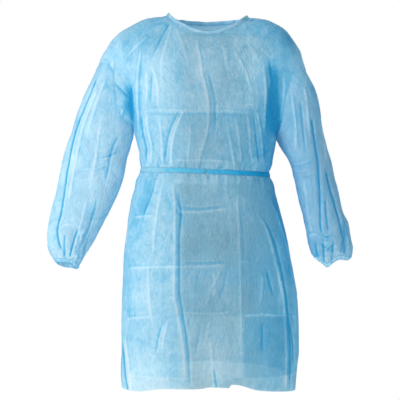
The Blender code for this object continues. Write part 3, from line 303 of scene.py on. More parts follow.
RIGHT_SLEEVE_CREASES = (
    ("edge_line", -4.0, 4, 5, 0.06, 0.04, (-333, -190, -356, -240, -381, -300, -398, -342, -412, -406, -421,
     -454, -430, -503, -437, -560, -443, -608, -450, -634, -455, -662, -450, -694, -438, -722)),
    ("edge_ridge", 3.4, 5, 7, 0.10, 0.10, (-330, -221, -363, -300, -381, -348, -393, -409, -403, -463,
     -412, -518, -421, -584)),
    ("top_ridge", 2.6, 8, 9, 0.20, 0.30, (-306, -197, -330, -252, -351, -318, -369, -385)),
    ("inner_hollow", -2.8, 8, 8, 0.20, 0.30, (-266, -360, -291, -415, -303, -475, -315, -530)),
    ("mid_ridge", 2.4, 8, 9, 0.25, 0.30, (-315, -294, -327, -354, -336, -421, -348, -493, -363, -560)),
    ("elbow_a", -0.9, 5, 6, 0.30, 0.30, (-412, -469, -375, -481, -333, -475, -291, -457)),
    ("elbow_b", 0.9, 5, 6, 0.30, 0.30, (-418, -493, -381, -506, -339, -499, -297, -481)),
    ("elbow_c", -2.0, 5, 5, 0.30, 0.30, (-266, -415, -297, -433, -333, -439)),
    ("fore_ridge_a", 2.6, 6, 6, 0.20, 0.20, (-363, -554, -375, -608, -390, -663, -409, -717)),
    ("fore_ridge_b", -2.4, 5, 6, 0.20, 0.20, (-333, -554, -345, -602, -363, -657, -387, -717)),
    ("cuff_pleat", -4.6, 3.5, 4, 0.25, 0.05, (-387, -645, -397, -669, -409, -705, -418, -741)),
    ("cuff_pleat_b", 3.2, 4, 3.5, 0.25, 0.05, (-375, -651, -387, -687, -403, -741)),
    ("cuff_pleat_c", -3.0, 3, 4, 0.25, 0.05, (-430, -663, -433, -699, -434, -738)),
    ("cuff_pleat_d", -2.6, 3, 4, 0.25, 0.05, (-357, -663, -372, -705, -387, -753)),
    ("crumple_a", 1.6, 4, 5, 0.30, 0.30, (-448, -651, -424, -639, -400, -645)),
)
LEFT_SLEEVE_CREASES = (
    ("dark_line", -5.5, 5, 5, 0.06, 0.08, (309, -314, 315, -362, 321, -410, 328, -452, 331, -518, 333,
     -581, 334, -632, 339, -674)),
    ("dark_line_b", -3.8, 4, 4, 0.15, 0.15, (348, -560, 351, -614, 357, -662)),
    ("ridge_a", 3.4, 6, 6, 0.20, 0.30, (285, -218, 294, -266, 300, -332, 306, -392)),
    ("ridge_b", 3.4, 5, 6, 0.20, 0.25, (249, -242, 256, -296, 262, -356, 264, -422)),
    ("ridge_c", 2.6, 5, 6, 0.20, 0.30, (342, -326, 351, -392, 357, -458)),
    ("ridge_d", 1.2, 6, 7, 0.20, 0.20, (285, -494, 294, -554, 303, -620, 315, -674)),
    ("hollow_a", -2.8, 6, 6, 0.20, 0.30, (273, -254, 279, -314, 285, -380, 291, -440)),
    ("hollow_b", -1.0, 5, 6, 0.25, 0.30, (306, -482, 312, -542, 318, -608)),
    ("elbow_a", -1.2, 3.5, 4, 0.30, 0.30, (249, -458, 270, -464, 294, -458, 318, -443)),
    ("elbow_b", 1.0, 3.5, 4, 0.30, 0.30, (252, -473, 276, -479, 306, -470)),
    ("elbow_c", -1.0, 4, 4, 0.30, 0.30, (264, -494, 294, -497, 330, -479)),
    ("band_a", -4.4, 6, 6, 0.10, 0.05, (352, -470, 362, -520, 374, -562, 386, -606, 396, -652, 405, -700,
     408, -740)),
    ("band_b", 2.6, 5, 5, 0.20, 0.10, (386, -590, 402, -630, 411, -674, 417, -716)),
    ("crumple_a", 1.4, 3, 3, 0.30, 0.30, (300, -680, 318, -668, 339, -680)),
    ("crumple_b", -2.2, 3, 3, 0.30, 0.30, (340, -668, 352, -676, 364, -670)),
    ("crumple_c", 2.0, 3, 3, 0.30, 0.30, (338, -684, 350, -692, 366, -686)),
    ("crumple_d", -2.4, 3, 3, 0.30, 0.30, (334, -692, 346, -704, 358, -700)),
    ("crumple_e", -2.2, 3, 3, 0.30, 0.30, (352, -712, 362, -704, 376, -698)),
    ("crumple_f", 1.8, 3, 3, 0.30, 0.30, (344, -724, 358, -716, 372, -718)),
    ("crumple_g", -2.4, 3, 3, 0.30, 0.30, (346, -738, 352, -752, 356, -766)),
    ("cuff_a", -3.4, 3.5, 4, 0.25, 0.05, (342, -674, 345, -710, 348, -752)),
    ("cuff_b", -3.0, 3.5, 4, 0.25, 0.05, (372, -680, 372, -716, 369, -746)),
    ("cuff_c", -2.6, 3, 3.5, 0.25, 0.05, (399, -686, 399, -716, 396, -734)),
    ("cuff_d", -2.6, 3, 3.5, 0.25, 0.05, (321, -686, 324, -716, 330, -746)),
)
# Patches of painted shade and painted light on the body, in millimetres: x, z, half width, half height, amount;
# deeper blue where shade falls in the valleys and at the sides, paler in a few lit places. They belong to the
# front, and run on over the shoulders.
PAINTED_LIGHT_PATCHES = (
    (-240, -236, 12, 22, 0.45), (-234, -264, 11, 24, 0.62), (-228, -300, 10, 28, 0.80),
    (-246, -286, 12, 18, 0.50),
    (-214, -340, 9, 40, 0.25), (197, -215, 9, 30, 0.70), (194, -262, 14, 36, 0.95),
    (192, -312, 16, 34, 0.85),
    (204, -345, 18, 24, 0.42), (222, -366, 16, 12, 0.35), (168, -400, 20, 84, 0.42),
    (-180, -390, 22, 90, 0.12),
    (-120, -190, 40, 80, -0.10), (-185, -95, 50, 36, 0.26), (200, -70, 60, 40, 0.16),
    (232, -900, 18, 160, 0.12),
    (-110, -1120, 90, 24, -0.10), (20, -78, 60, 10, 0.10), (-178, -535, 13, 42, 0.34),
    (-194, -590, 13, 36, 0.24), (-215, -620, 14, 60, 0.18),
    (206, -560, 16, 62, 0.55), (228, -660, 14, 60, 0.40), (246, -770, 12, 80, 0.26),
    (-236, -860, 14, 90, 0.14),
    (-10, -1050, 70, 60, -0.10), (-205, -240, 8, 110, 0.34), (243, -85, 22, 36, 0.42),
    (-244, -100, 20, 30, 0.18),
)
# Uneven cuff rims in metres: x, half width, and how far the cloth there is lifted; below zero it hangs lower.
CUFF_SAG = {
    "right": ((-0.392, 0.012, -0.0040), (-0.420, 0.012, 0.0030)),
    "left": ((0.357, 0.013, -0.0120), (0.396, 0.020, 0.0110), (0.322, 0.012, 0.0040)),
}
# The same on the front of each sleeve: painted shade in thin dark lines and patches.
SLEEVE_SHADE_PATCHES = {
    "right": ((-391, -690, 4, 24, 0.45), (-399, -714, 6, 16, 0.60), (-300, -222, 16, 30, 0.14)),
    "left": ((318, -215, 10, 46, 0.34), (404, -660, 6, 40, 0.60), (326, -470, 5, 70, 0.20),
             (345, -250, 10, 60, 0.20), (408, -712, 6, 30, 0.35), (262, -330, 10, 40, 0.16),
             (352, -690, 14, 24, 0.14), (324, -540, 4, 60, 0.20)),
}
# Panels between packing folds, with painted shade or painted light and painted shade of the body behind: x from,
# x to, z from, z to, soft edge across and down, deeper blue, greyer.
PAINTED_LIGHT_PANELS = (
    (-100, 92, -905, -520, 8, 10, 0.06, 0.34), (-100, 92, -760, -600, 8, 8, 0.00, 0.10),
    (92, 205, -905, -500, 10, 20, 0.12, 0.40), (-74, 96, -1090, -905, 10, 10, -0.10, 0.20),
    (104, 252, -1090, -910, 8, 6, 0.24, 0.26), (-260, -100, -760, -600, 10, 8, 0.00, 0.04),
    (-240, -86, -1150, -1088, 14, 6, -0.16, 0.22), (-62, 14, -1150, -1086, 8, 6, -0.16, 0.22),
    (22, 268, -1150, -1092, 8, 6, -0.08, 0.28), (-100, 130, -470, -310, 16, 10, 0.06, 0.14),
    (-70, 150, -300, -80, 30, 14, -0.15, 0.02), (-260, -120, -140, -30, 50, 30, 0.02, 0.24),
    (120, 275, -140, -30, 50, 30, 0.02, 0.30), (-100, 100, -905, -500, 10, 20, -0.05, 0.0),
    (-90, 110, -1090, -905, 10, 10, -0.08, 0.0), (210, 275, -1150, -800, 30, 60, -0.12, 0.0),
    (-236, 262, -1092, -1087, 10, 3, -0.14, 0.0),
)
BACK_CREASES = (
    ("blade_right", 3.2, 9, 8, 0.2, 0.3, (-152, -112, -146, -190, -132, -280, -122, -372)),
    ("blade_right_hollow", -2.6, 8, 7, 0.2, 0.3, (-176, -140, -170, -210, -158, -300, -150, -390)),
    ("valley_right", 4.0, 9, 7, 0.2, 0.2, (-199, -120, -206, -190, -211, -262, -208, -360)),
    ("valley_right_dark", -5.5, 6, 8, 0.3, 0.2, (-231, -205, -229, -262, -228, -325)),
    ("valley_left", 4.0, 7, 9, 0.2, 0.2, (160, -140, 170, -205, 172, -270, 168, -372)),
    ("valley_left_dark", -7.0, 10, 9, 0.3, 0.2, (186, -170, 196, -232, 201, -300, 204, -345)),
    ("blade_left", 3.4, 8, 9, 0.2, 0.3, (120, -106, 128, -190, 118, -290, 110, -380)),
    ("blade_left_hollow", -2.4, 7, 8, 0.2, 0.3, (144, -150, 148, -230, 140, -320, 134, -410)),
    ("back_pull_a", 2.2, 6, 6, 0.2, 0.3, (-98, -60, -84, -120, -70, -190)),
    ("back_pull_b", 2.0, 6, 6, 0.2, 0.3, (92, -62, 80, -130, 70, -200)),
    ("low_right_a", 2.2, 5, 6, 0.2, 0.2, (-150, -330, -144, -400, -138, -466)),
    ("low_right_b", -2.4, 5, 5, 0.2, 0.2, (-96, -350, -92, -410, -90, -470)),
    ("low_left_a", 2.4, 6, 5, 0.2, 0.2, (96, -330, 92, -400, 88, -470)),
    ("low_left_b", -2.2, 5, 6, 0.2, 0.2, (150, -360, 146, -420, 140, -480)),
    ("pack_blade", 1.9, 3, 3.5, 0.1, 0.1, (-190, -300, -100, -301, -30, -303)),
    ("pack_blade_b", 1.9, 3, 3.5, 0.1, 0.1, (30, -303, 90, -305, 150, -309)),
    ("pack_waist", 1.6, 3, 3, 0.15, 0.15, (-120, -449, -60, -448, -20, -449)),
    ("pack_waist_b", 1.6, 3, 3, 0.15, 0.15, (30, -450, 70, -452, 110, -455)),
    ("fall_right", 4.6, 9, 8, 0.1, 0.06, (-118, -520, -136, -610, -150, -720, -162, -850, -168, -980,
     -172, -1100)),
    ("fall_right_dark", -3.4, 6, 6, 0.1, 0.06, (-138, -530, -156, -620, -170, -730, -182, -860, -188,
     -1100)),
    ("fall_left", 4.4, 8, 9, 0.1, 0.06, (122, -520, 140, -620, 154, -730, 168, -860, 180, -980, 186,
     -1100)),
    ("fall_left_dark", -3.6, 6, 6, 0.1, 0.06, (100, -530, 118, -630, 132, -740, 148, -880, 160, -1100)),
    ("side_right", 3.4, 6, 8, 0.2, 0.2, (-190, -540, -214, -640, -224, -760, -226, -900)),
    ("side_left", 3.4, 8, 6, 0.2, 0.2, (186, -540, 212, -640, 226, -760, 232, -900)),
    ("mid_right", 2.6, 6, 6, 0.2, 0.1, (-60, -540, -66, -660, -70, -800, -76, -940, -80, -1090)),
    ("mid_left", 2.6, 6, 6, 0.2, 0.1, (66, -560, 74, -680, 82, -820, 88, -960, 92, -1090)),
    ("hem_right", -3.6, 5, 6, 0.3, 0.02, (-108, -960, -116, -1040, -120, -1110)),
    ("hem_left", 3.4, 5, 6, 0.3, 0.02, (126, -950, 132, -1030, 136, -1110)),
    ("pack_seat_right", 2.2, 4, 3, 0.08, 0.1, (-216, -606, -140, -603, -80, -601, -30, -600)),
    ("pack_seat_left", 2.2, 4, 3, 0.08, 0.1, (30, -600, 90, -598, 150, -602, 200, -608)),
    ("pack_thigh_right", 2.2, 4, 3, 0.08, 0.1, (-240, -766, -160, -762, -90, -764, -30, -762)),
    ("pack_thigh_left", 2.2, 4, 3, 0.08, 0.1, (30, -760, 110, -758, 180, -756, 244, -760)),
    ("pack_low_right", 2.2, 3.5, 3, 0.1, 0.1, (-240, -914, -170, -908, -100, -910, -30, -906)),
    ("pack_low_left", 2.2, 3.5, 3, 0.1, 0.1, (30, -904, 120, -906, 200, -904, 250, -912)),
)


def smooth(t):
    """Soft step from 0 to 1."""
    t = np.clip(t, 0.0, 1.0)
    return t * t * (3 - 2 * t)


def unit(v):
    """Vectors of length one."""
    return v / np.maximum(np.linalg.norm(v, axis=-1, keepdims=True), 1e-9)


def harmonic_slopes(values, step):
    """Slopes at the rows of a table for a curve that doesn't overshoot."""
    rise = np.diff(values, axis=0) / step
    slope = np.concatenate([rise[:1], np.zeros_like(rise[:-1]), rise[-1:]])
    same = rise[:-1] * rise[1:] > 0
    total = np.where(same, rise[:-1] + rise[1:], 1.0)
    slope[1:-1] = np.where(same, 2 * rise[:-1] * rise[1:] / total, 0.0)
    return slope


def pchip(xs, ys, at):
    """Smooth curve through a table without overshoot."""
    xs = np.asarray(xs, float)
    ys = np.asarray(ys, float)
    at = np.clip(np.asarray(at, float), xs[0], xs[-1])
    step = np.diff(xs)
    rise = np.diff(ys) / step
    slope = np.zeros_like(ys)
    slope[0] = rise[0]
    slope[-1] = rise[-1]
    for k in range(1, len(xs) - 1):
        if rise[k - 1] * rise[k] > 0:
            w1 = 2 * step[k] + step[k - 1]
            w2 = step[k] + 2 * step[k - 1]
            slope[k] = (w1 + w2) / (w1 / rise[k - 1] + w2 / rise[k])
    k = np.clip(np.searchsorted(xs, at, side="right") - 1, 0, len(xs) - 2)
    t = (at - xs[k]) / step[k]
    a = (1 + 2 * t) * (1 - t) ** 2
    b = t * (1 - t) ** 2
    c = t * t * (3 - 2 * t)
    d = t * t * (t - 1)
    return a * ys[k] + b * step[k] * slope[k] + c * ys[k + 1] + d * step[k] * slope[k + 1]


def refine(points, steps):
    """Points of a smooth curve through the rows of a table, with steps[k] steps in the k-th gap."""
    pts = np.asarray(points, float)
    slope = harmonic_slopes(pts, 1.0)
    out = [pts[:1]]
    for k, count in enumerate(steps):
        t = (np.arange(1, count + 1) / count).reshape([-1] + [1] * (pts.ndim - 1))
        out.append((2 * t ** 3 - 3 * t ** 2 + 1) * pts[k] + (t ** 3 - 2 * t ** 2 + t) * slope[k]
                   + (3 * t ** 2 - 2 * t ** 3) * pts[k + 1] + (t ** 3 - t ** 2) * slope[k + 1])
    return np.concatenate(out)


def running_length(points):
    """Length of a line from its start to each of its points."""
    return np.concatenate(([0.0], np.cumsum(np.linalg.norm(np.diff(points, axis=0), axis=1))))


def column(table, k):
    """One column of a table that holds rows."""
    return [row[k] for row in table]


def along(points, fractions):
    """Points at fractions of a line's length."""
    pts = np.asarray(points, float)
    run = running_length(pts)
    run /= run[-1]
    return np.stack([pchip(run, pts[:, k], fractions) for k in range(pts.shape[1])], axis=1)


def ridge(x):
    """Height of the shoulder line."""
    return pchip(column(RIDGE, 0), column(RIDGE, 1), x)


def bulge(x, z, side):
    """Half depth of the swell below the shoulder tips at x, z."""
    out = pchip(ARM_BULGE["z"], ARM_BULGE[side + "_out"], z)
    inn = pchip(ARM_BULGE["z"], ARM_BULGE[side + "_in"], z)
    t = np.abs((x - (out + inn) / 2) / ((out - inn) / 2))
    return BULGE_DEPTH[side] * np.sqrt(np.clip(1 - t ** 2, 0, 1))


def trunk_edge(z, side):
    """Edge of the trunk part at a height: the side seam, and above the underarm its own line."""
    above = TRUNK_RIGHT_ABOVE if side == "right" else TRUNK_LEFT_ABOVE
    zs = list(SIDE["z_" + side]) + column(above, 0)
    xs = list(SIDE["x_" + side]) + column(above, 1)
    return pchip(zs, xs, z)


def half_depth(x, z, face):
    """Distance of the front or back surface from the middle plane."""
    x = np.asarray(x, float)
    z = np.asarray(z, float)
    left = trunk_edge(z, "right") - SIDE_MARGIN
    right = trunk_edge(z, "left") + SIDE_MARGIN
    depth = pchip(TRUNK["z"], TRUNK[face], z)
    t = np.clip(np.abs((x - (left + right) / 2) / ((right - left) / 2)), 0, 1)
    trunk = depth * (1 - t ** BODY_POWER) ** (1 / BODY_POWER)
    high = smooth((z + 0.374) / 0.02)
    arms = np.where(x < 0, bulge(x, z, "right"), bulge(x, z, "left")) * high
    edge = np.where(x < 0, left, right)
    above = np.clip((z - np.where(x < 0, SIDE["z_right"][-1], SIDE["z_left"][-1])) / 0.05, 0, 1)
    bridge = BRIDGE_DEPTH * above ** 0.4 * np.sqrt(np.clip(1 - ((x - edge) / BRIDGE_REACH) ** 2, 0, 1))
    both = (trunk ** 5 + arms ** 5 + bridge ** 5) ** 0.2
    bends = FRONT_BEND if face == "front" else BACK_BEND
    far = smooth(np.abs(x) / 0.26)
    bend = bends[0] * (1 - far) + bends[1] * far
    h = np.clip((ridge(x) - z) / bend, 0, 1)
    return both * np.sqrt(np.clip(1 - (1 - h) ** 2, 0, 1))


def side_rows():
    """Left and right edge lines of the body from hem over the underarm to the shoulder tip."""
    t = np.linspace(0, 1, ARMHOLE_ROWS + 1)
    run = (1 - np.cos(math.pi * t)) / 2
    edges = []
    for side, armhole in (("right", ARMHOLE_RIGHT), ("left", ARMHOLE_LEFT)):
        seam = np.stack([SIDE["x_" + side], SIDE["z_" + side]], axis=1)
        edges.append(np.concatenate([seam, along(armhole, run)[1:]]))
    low = (edges[0][:, 1] + edges[1][:, 1]) / 2
    start = (low[SEAMS] - low[0]) / (SHOULDER_LEVEL - low[0])
    share = np.empty(len(low))
    share[:SEAMS + 1] = (low[:SEAMS + 1] - low[0]) / (SHOULDER_LEVEL - low[0])
    share[SEAMS:] = start + (1 - start) * (1 - (1 - t) ** 1.7)
    return edges[0], edges[1], share


def body_outline(face):
    """Frame grid of the whole front or back, seen from the front, as rows of columns."""
    right, left, share = side_rows()
    neck = FRONT_NECK_COLUMNS if face == "front" else BACK_NECK_COLUMNS
    columns = 2 * SHOULDER_COLUMNS + neck
    u = (1 + np.sin(np.linspace(-math.pi / 2, math.pi / 2, columns + 1))) / 2
    hem = FRONT_HEM if face == "front" else BACK_HEM
    hem_rise = pchip(column(hem, 0), column(hem, 1), 2 * u - 1)
    shoulder = np.linspace(0, 1, SHOULDER_COLUMNS + 1) ** 0.94
    ridge_pts = np.asarray(RIDGE, float)
    first = ridge_pts[ridge_pts[:, 0] <= NECK_RIGHT[0] + 1e-6]
    last = ridge_pts[ridge_pts[:, 0] >= NECK_LEFT[0] - 1e-6]
    first_x = along(first, shoulder)[:, 0]
    last_x = along(last[::-1], shoulder)[::-1, 0]
    t = np.linspace(0, 1, neck + 1)
    neckline = along(FRONT_NECKLINE if face == "front" else BACK_NECKLINE,
                     0.35 * (1 - np.cos(math.pi * t)) / 2 + 0.65 * t)
    top = np.concatenate([np.stack([first_x, ridge(first_x)], 1), neckline[1:-1],
                          np.stack([last_x, ridge(last_x)], 1)])
    line = top[0] * (1 - u[:, None]) + top[-1] * u[:, None]
    start = share[BELT_ROW + 1]
    beta = (np.clip((share - start) / (1 - start), 0, 1) ** 1.7)[:, None, None]
    alpha = ((1 - share) ** 3)[:, None]
    climb = ((share[SEAMS:] - share[SEAMS]) / (1 - share[SEAMS]))[:, None]
    plain = []
    for edge in (right, left):
        even = edge.copy()
        even[SEAMS:] = edge[SEAMS] * (1 - climb) + edge[-1] * climb
        plain.append(even)
    flat = plain[0][:, None, :] * (1 - u[None, :, None]) + plain[1][:, None, :] * u[None, :, None]
    flat = flat + (right - plain[0])[:, None, :] * ((1 - u) ** 9)[None, :, None]
    flat = flat + (left - plain[1])[:, None, :] * (u ** 9)[None, :, None]
    flat = flat + beta * (top - line)[None]
    flat[:, :, 1] += alpha * hem_rise[None, :]
    return flat


def body_surface(face):
    """Fine surface of the whole front or back before its folds."""
    flat = refine(body_outline(face), [SEAM_STEPS] * SEAMS + [ARMHOLE_STEPS] * ARMHOLE_ROWS)
    flat = refine(flat.swapaxes(0, 1), [COLUMN_STEPS] * (flat.shape[1] - 1)).swapaxes(0, 1)
    x = flat[:, :, 0]
    z = flat[:, :, 1]
    y = half_depth(x, z, face)
    y[:UNDERARM + 1, 0] = 0.0
    y[:UNDERARM + 1, -1] = 0.0
    y[-1, :SHOULDER + 1] = 0.0
    y[-1, -SHOULDER - 1:] = 0.0
    return np.stack([x, -y if face == "front" else y, z], axis=2)


def ring_points(row, turn):
    """One ring of a sleeve from a row of its table."""
    ox, oz, ix, iz, depth, mid, tilt = row
    c = np.cos(turn)
    s = np.sin(turn)
    full = np.sign(s) * np.abs(s) ** 0.9
    x = (ox + ix) / 2 + (ix - ox) / 2 * c
    z = (oz + iz) / 2 + (iz - oz) / 2 * c + tilt * s
    return np.stack([x, mid - depth * full, z], axis=1)


def cuff_sag(points, side):
    """Uneven rim: how far the cloth near a cuff is lifted, or hangs lower."""
    x = points[..., 0]
    z = points[..., 2]
    lift = sum(amount * np.exp(-((x - at) / wide) ** 2) for at, wide, amount in CUFF_SAG[side])
    return lift * smooth((-0.665 - z) / 0.085)


def sleeve_surface(stations, armhole_front, armhole_back):
    """Rings from the armhole to the sleeve end; each starts at the inner side and goes by the front."""
    ring0 = np.concatenate([armhole_front, armhole_back[-2:0:-1]])
    count = len(ring0)
    turn = 2 * math.pi * np.arange(count) / count
    st = np.asarray(stations, float)
    tip = armhole_front[-1]
    under = armhole_front[0]
    table = np.vstack([np.array([tip[0], tip[2], under[0], under[2], st[0][4], 0.0, 0.0]), st])
    mids = (table[:, 0:2] + table[:, 2:4]) / 2
    run = running_length(mids)
    run /= run[-1]
    t = np.linspace(0, 1, SLEEVE_RINGS + 1)
    t = 0.75 * t + 0.25 * (1 - (1 - t) ** 2)
    rows = np.stack([pchip(run, table[:, k], t) for k in range(7)], axis=1)
    chord0 = ring_points(table[0], turn)
    rings = [ring_points(row, turn) + (ring0 - chord0) * (1 - smooth(t[k] / 0.30))
             for k, row in enumerate(rows)]
    return np.array(rings), t


def grid_normals(grid, closed, flip):
    """Unit normals of a grid; closed rings wrap along their columns."""
    du = np.roll(grid, -1, axis=1) - np.roll(grid, 1, axis=1) if closed else np.gradient(grid, axis=1)
    n = unit(np.cross(du, np.gradient(grid, axis=0)))
    return -n if flip else n


def weld_key(point):
    """Whole numbers that are the same for points that lie together."""
    return tuple(int(round(c * WELD_STEPS)) for c in point)


def share_edges(edges):
    """Points that the edges of panels have in common get one normal, so that a seam stays closed."""
    total = {}
    for points, normals in edges:
        for p, n in zip(points, normals):
            total[weld_key(p)] = total.get(weld_key(p), np.zeros(3)) + n
    for points, normals in edges:
        for k, p in enumerate(points):
            normals[k] = unit(total[weld_key(p)])


def lumps(points, size, seed):
    """Smooth noise in space, from about -1 to 1, with lumps of the given size."""
    p = points / np.asarray(size, float) + seed * 17.31
    cell = np.floor(p).astype(np.int64)
    f = p - cell
    w = f * f * f * (f * (f * 6 - 15) + 10)
    total = np.zeros(points.shape[:-1])
    for corner in ((i, j, k) for k in (0, 1) for j in (0, 1) for i in (0, 1)):
        c = cell + np.array(corner)
        h = (c[..., 0] * 73856093) ^ (c[..., 1] * 19349663) ^ (c[..., 2] * 83492791) ^ (seed * 2971215073)
        h = (h * 2654435761) & 0xFFFFFFFF
        h = (h ^ (h >> 15)) * 2246822519 & 0xFFFFFFFF
        d = f - np.array(corner)
        dot = sum((((h >> 10 * k) & 1023) / 511.5 - 1) * d[..., k] for k in range(3))
        total += dot * np.prod(np.where(np.array(corner) == 1, w, 1 - w), axis=-1)
    return total * 1.5


def crumple(points, size, seed):
    """Sharp-edged noise: flat facets that meet in creases."""
    size = np.asarray(size, float)
    bent = points + 0.35 * size * lumps(points, size * 1.7, seed + 50)[..., None]
    return 0.42 - np.abs(lumps(bent, size, seed)) * 1.6


def veins(points, size, seed):
    """Thin broken lines that wander over the cloth, from 0 to 1."""
    size = np.asarray(size, float)
    bent = points + 0.4 * size * lumps(points, size * 0.6, seed + 3)[..., None]
    line = lumps(bent, size, seed)
    return np.exp(-(line / 0.075) ** 2) * smooth(lumps(points, size * 1.6, seed + 9) * 1.6 + 0.45)


def crease_lines(x, z, table, move=(0.0, 0.0)):
    """Height of the creases of a table at x, z, and their colour mark, which is painted light: a painted
    highlight along raised creases with painted shade beside them on the side away from the lamp, and painted
    shade along sunk ones with a painted highlight beside them. Lines run down or to the right.
    """
    total = np.zeros(x.shape)
    mark = np.zeros(x.shape)
    for _, height, wide_low, wide_high, start, end, line in table:
        pts = np.asarray(line, float).reshape(-1, 2) * MM + np.asarray(move)
        pts = refine(pts, [6] * (len(pts) - 1))
        reach = 3.2 * max(wide_low, wide_high) * MM
        near = (x > pts[:, 0].min() - reach) & (x < pts[:, 0].max() + reach)
        near &= (z > pts[:, 1].min() - reach) & (z < pts[:, 1].max() + reach)
        if not near.any():
            continue
        px = x[near]
        pz = z[near]
        best = np.full(px.shape, 9.0)
        where = np.zeros(px.shape)
        hand = np.ones(px.shape)
        run = running_length(pts)
        for k in range(len(pts) - 1):
            d = pts[k + 1] - pts[k]
            t = np.clip(((px - pts[k][0]) * d[0] + (pz - pts[k][1]) * d[1]) / (d @ d), 0, 1)
            gap = np.hypot(px - pts[k][0] - t * d[0], pz - pts[k][1] - t * d[1])
            closer = gap < best
            best = np.where(closer, gap, best)
            where = np.where(closer, (run[k] + t * (run[k + 1] - run[k])) / run[-1], where)
            side = d[0] * (pz - pts[k][1]) - d[1] * (px - pts[k][0])
            hand = np.where(closer, side, hand)
        width = np.where(hand < 0, wide_low, wide_high) * MM
        taper = smooth(where / start) * smooth((1 - where) / end)
        flank = np.sqrt(best ** 2 + 0.0007 ** 2) / (width * 0.80)
        total[near] += 0.50 * height * MM * taper * np.exp(-flank ** 1.12)
        # Painted highlight and painted shade of the crease, and painted shade or highlight beside it on the side
        # away from the lamp.
        strength = np.sign(height) * min(abs(height) / 4.5, 1.0)
        beside = np.exp(-((best - 0.0052) / 0.0028) ** 2) * (hand > 0)
        mark[near] += strength * taper * (np.exp(-(best / 0.0029) ** 1.8) - 0.55 * beside)
    return total, mark


def gathers(along_row, above, seed, count, span):
    """Fine gathers that run out of a drawn-in line: position along it and distance from it."""
    rng = np.random.default_rng(seed)
    total = np.zeros(along_row.shape)
    band = (above >= 0) & (above < GATHER_REACH)
    s = along_row[band]
    d = above[band]
    got = np.zeros(s.shape)
    for k in range(count):
        at = span[0] + (span[1] - span[0]) * (k + rng.uniform(0.1, 0.9)) / count
        wide = rng.uniform(0.0028, 0.0055)
        high = rng.uniform(0.0010, 0.0024) * rng.choice((1.0, 1.0, -0.8))
        long = rng.uniform(0.016, 0.060)
        slant = rng.normal(0.0, 0.16)
        gap = (s - at - slant * d) / (wide * (1 + 0.5 * d / long))
        got += high * np.exp(-gap ** 2) * np.exp(-(d / long) ** 1.4) * smooth(d / 0.004 + 0.25)
    total[band] = got
    return total


made = {}


def arc(grid, axis):
    """Running length along the rows or columns of a grid."""
    step = np.linalg.norm(np.diff(grid, axis=axis), axis=2)
    zero = np.zeros_like(np.take(step, [0], axis=axis))
    return np.concatenate([zero, np.cumsum(step, axis=axis)], axis=axis)


def shared_undulation(points, sizes):
    """Slow waves and small crumples that run on over every seam, with painted shade along sunk veins and a
    painted highlight along raised ones.
    """
    wave = lumps(points, (0.12, 0.12, 0.20), seed=3) * 0.0030
    fine = crumple(points, (0.045, 0.045, 0.075), seed=7) * 0.0013 * sizes.crumple
    small = crumple(points, (0.020, 0.020, 0.030), seed=11) * 0.0006 * sizes.crumple
    raised = veins(points, (0.034, 0.034, 0.060), 81) + 0.7 * veins(points, (0.016, 0.016, 0.034), 82)
    sunk = veins(points, (0.040, 0.040, 0.050), 83) + 0.7 * veins(points, (0.018, 0.018, 0.030), 84)
    height = 0.0006 * (raised - sunk) * sizes.crumple
    # The second value is painted light: painted shade along the sunk veins, painted highlight along the raised
    # ones.
    return wave + fine + small + height, (0.17 * sunk - 0.08 * raised) * sizes.crumple


def tone_patch(x, z, patch):
    """Soft oval patch of a table in millimetres: x, z, half width, half height, amount."""
    at_x, at_z, wide, tall, amount = patch
    return amount * np.exp(-((x - at_x * MM) / (wide * MM)) ** 2 - ((z - at_z * MM) / (tall * MM)) ** 2)


def soft_span(value, low, high, soft):
    """1 between two places in millimetres, 0 outside, with a soft edge."""
    return smooth((value - low * MM) / (soft * MM) + 0.5) * smooth((high * MM - value) / (soft * MM) + 0.5)


def body_hold(rows, cols, above, below):
    """Where folds are held flat, from 0 to 1: at the seams, at the shoulders and under the belt."""
    index = np.arange(cols)
    side_steps = np.minimum(index, cols - 1 - index)
    hold = smooth(side_steps / 9.0)[None, :] * smooth((rows - 1 - np.arange(rows)) / 12.0)[:, None]
    under_belt = (above < 0) & (below < 0)
    return np.where(under_belt, 0.0, hold * smooth(np.maximum(above, below) / 0.004 + 0.15))


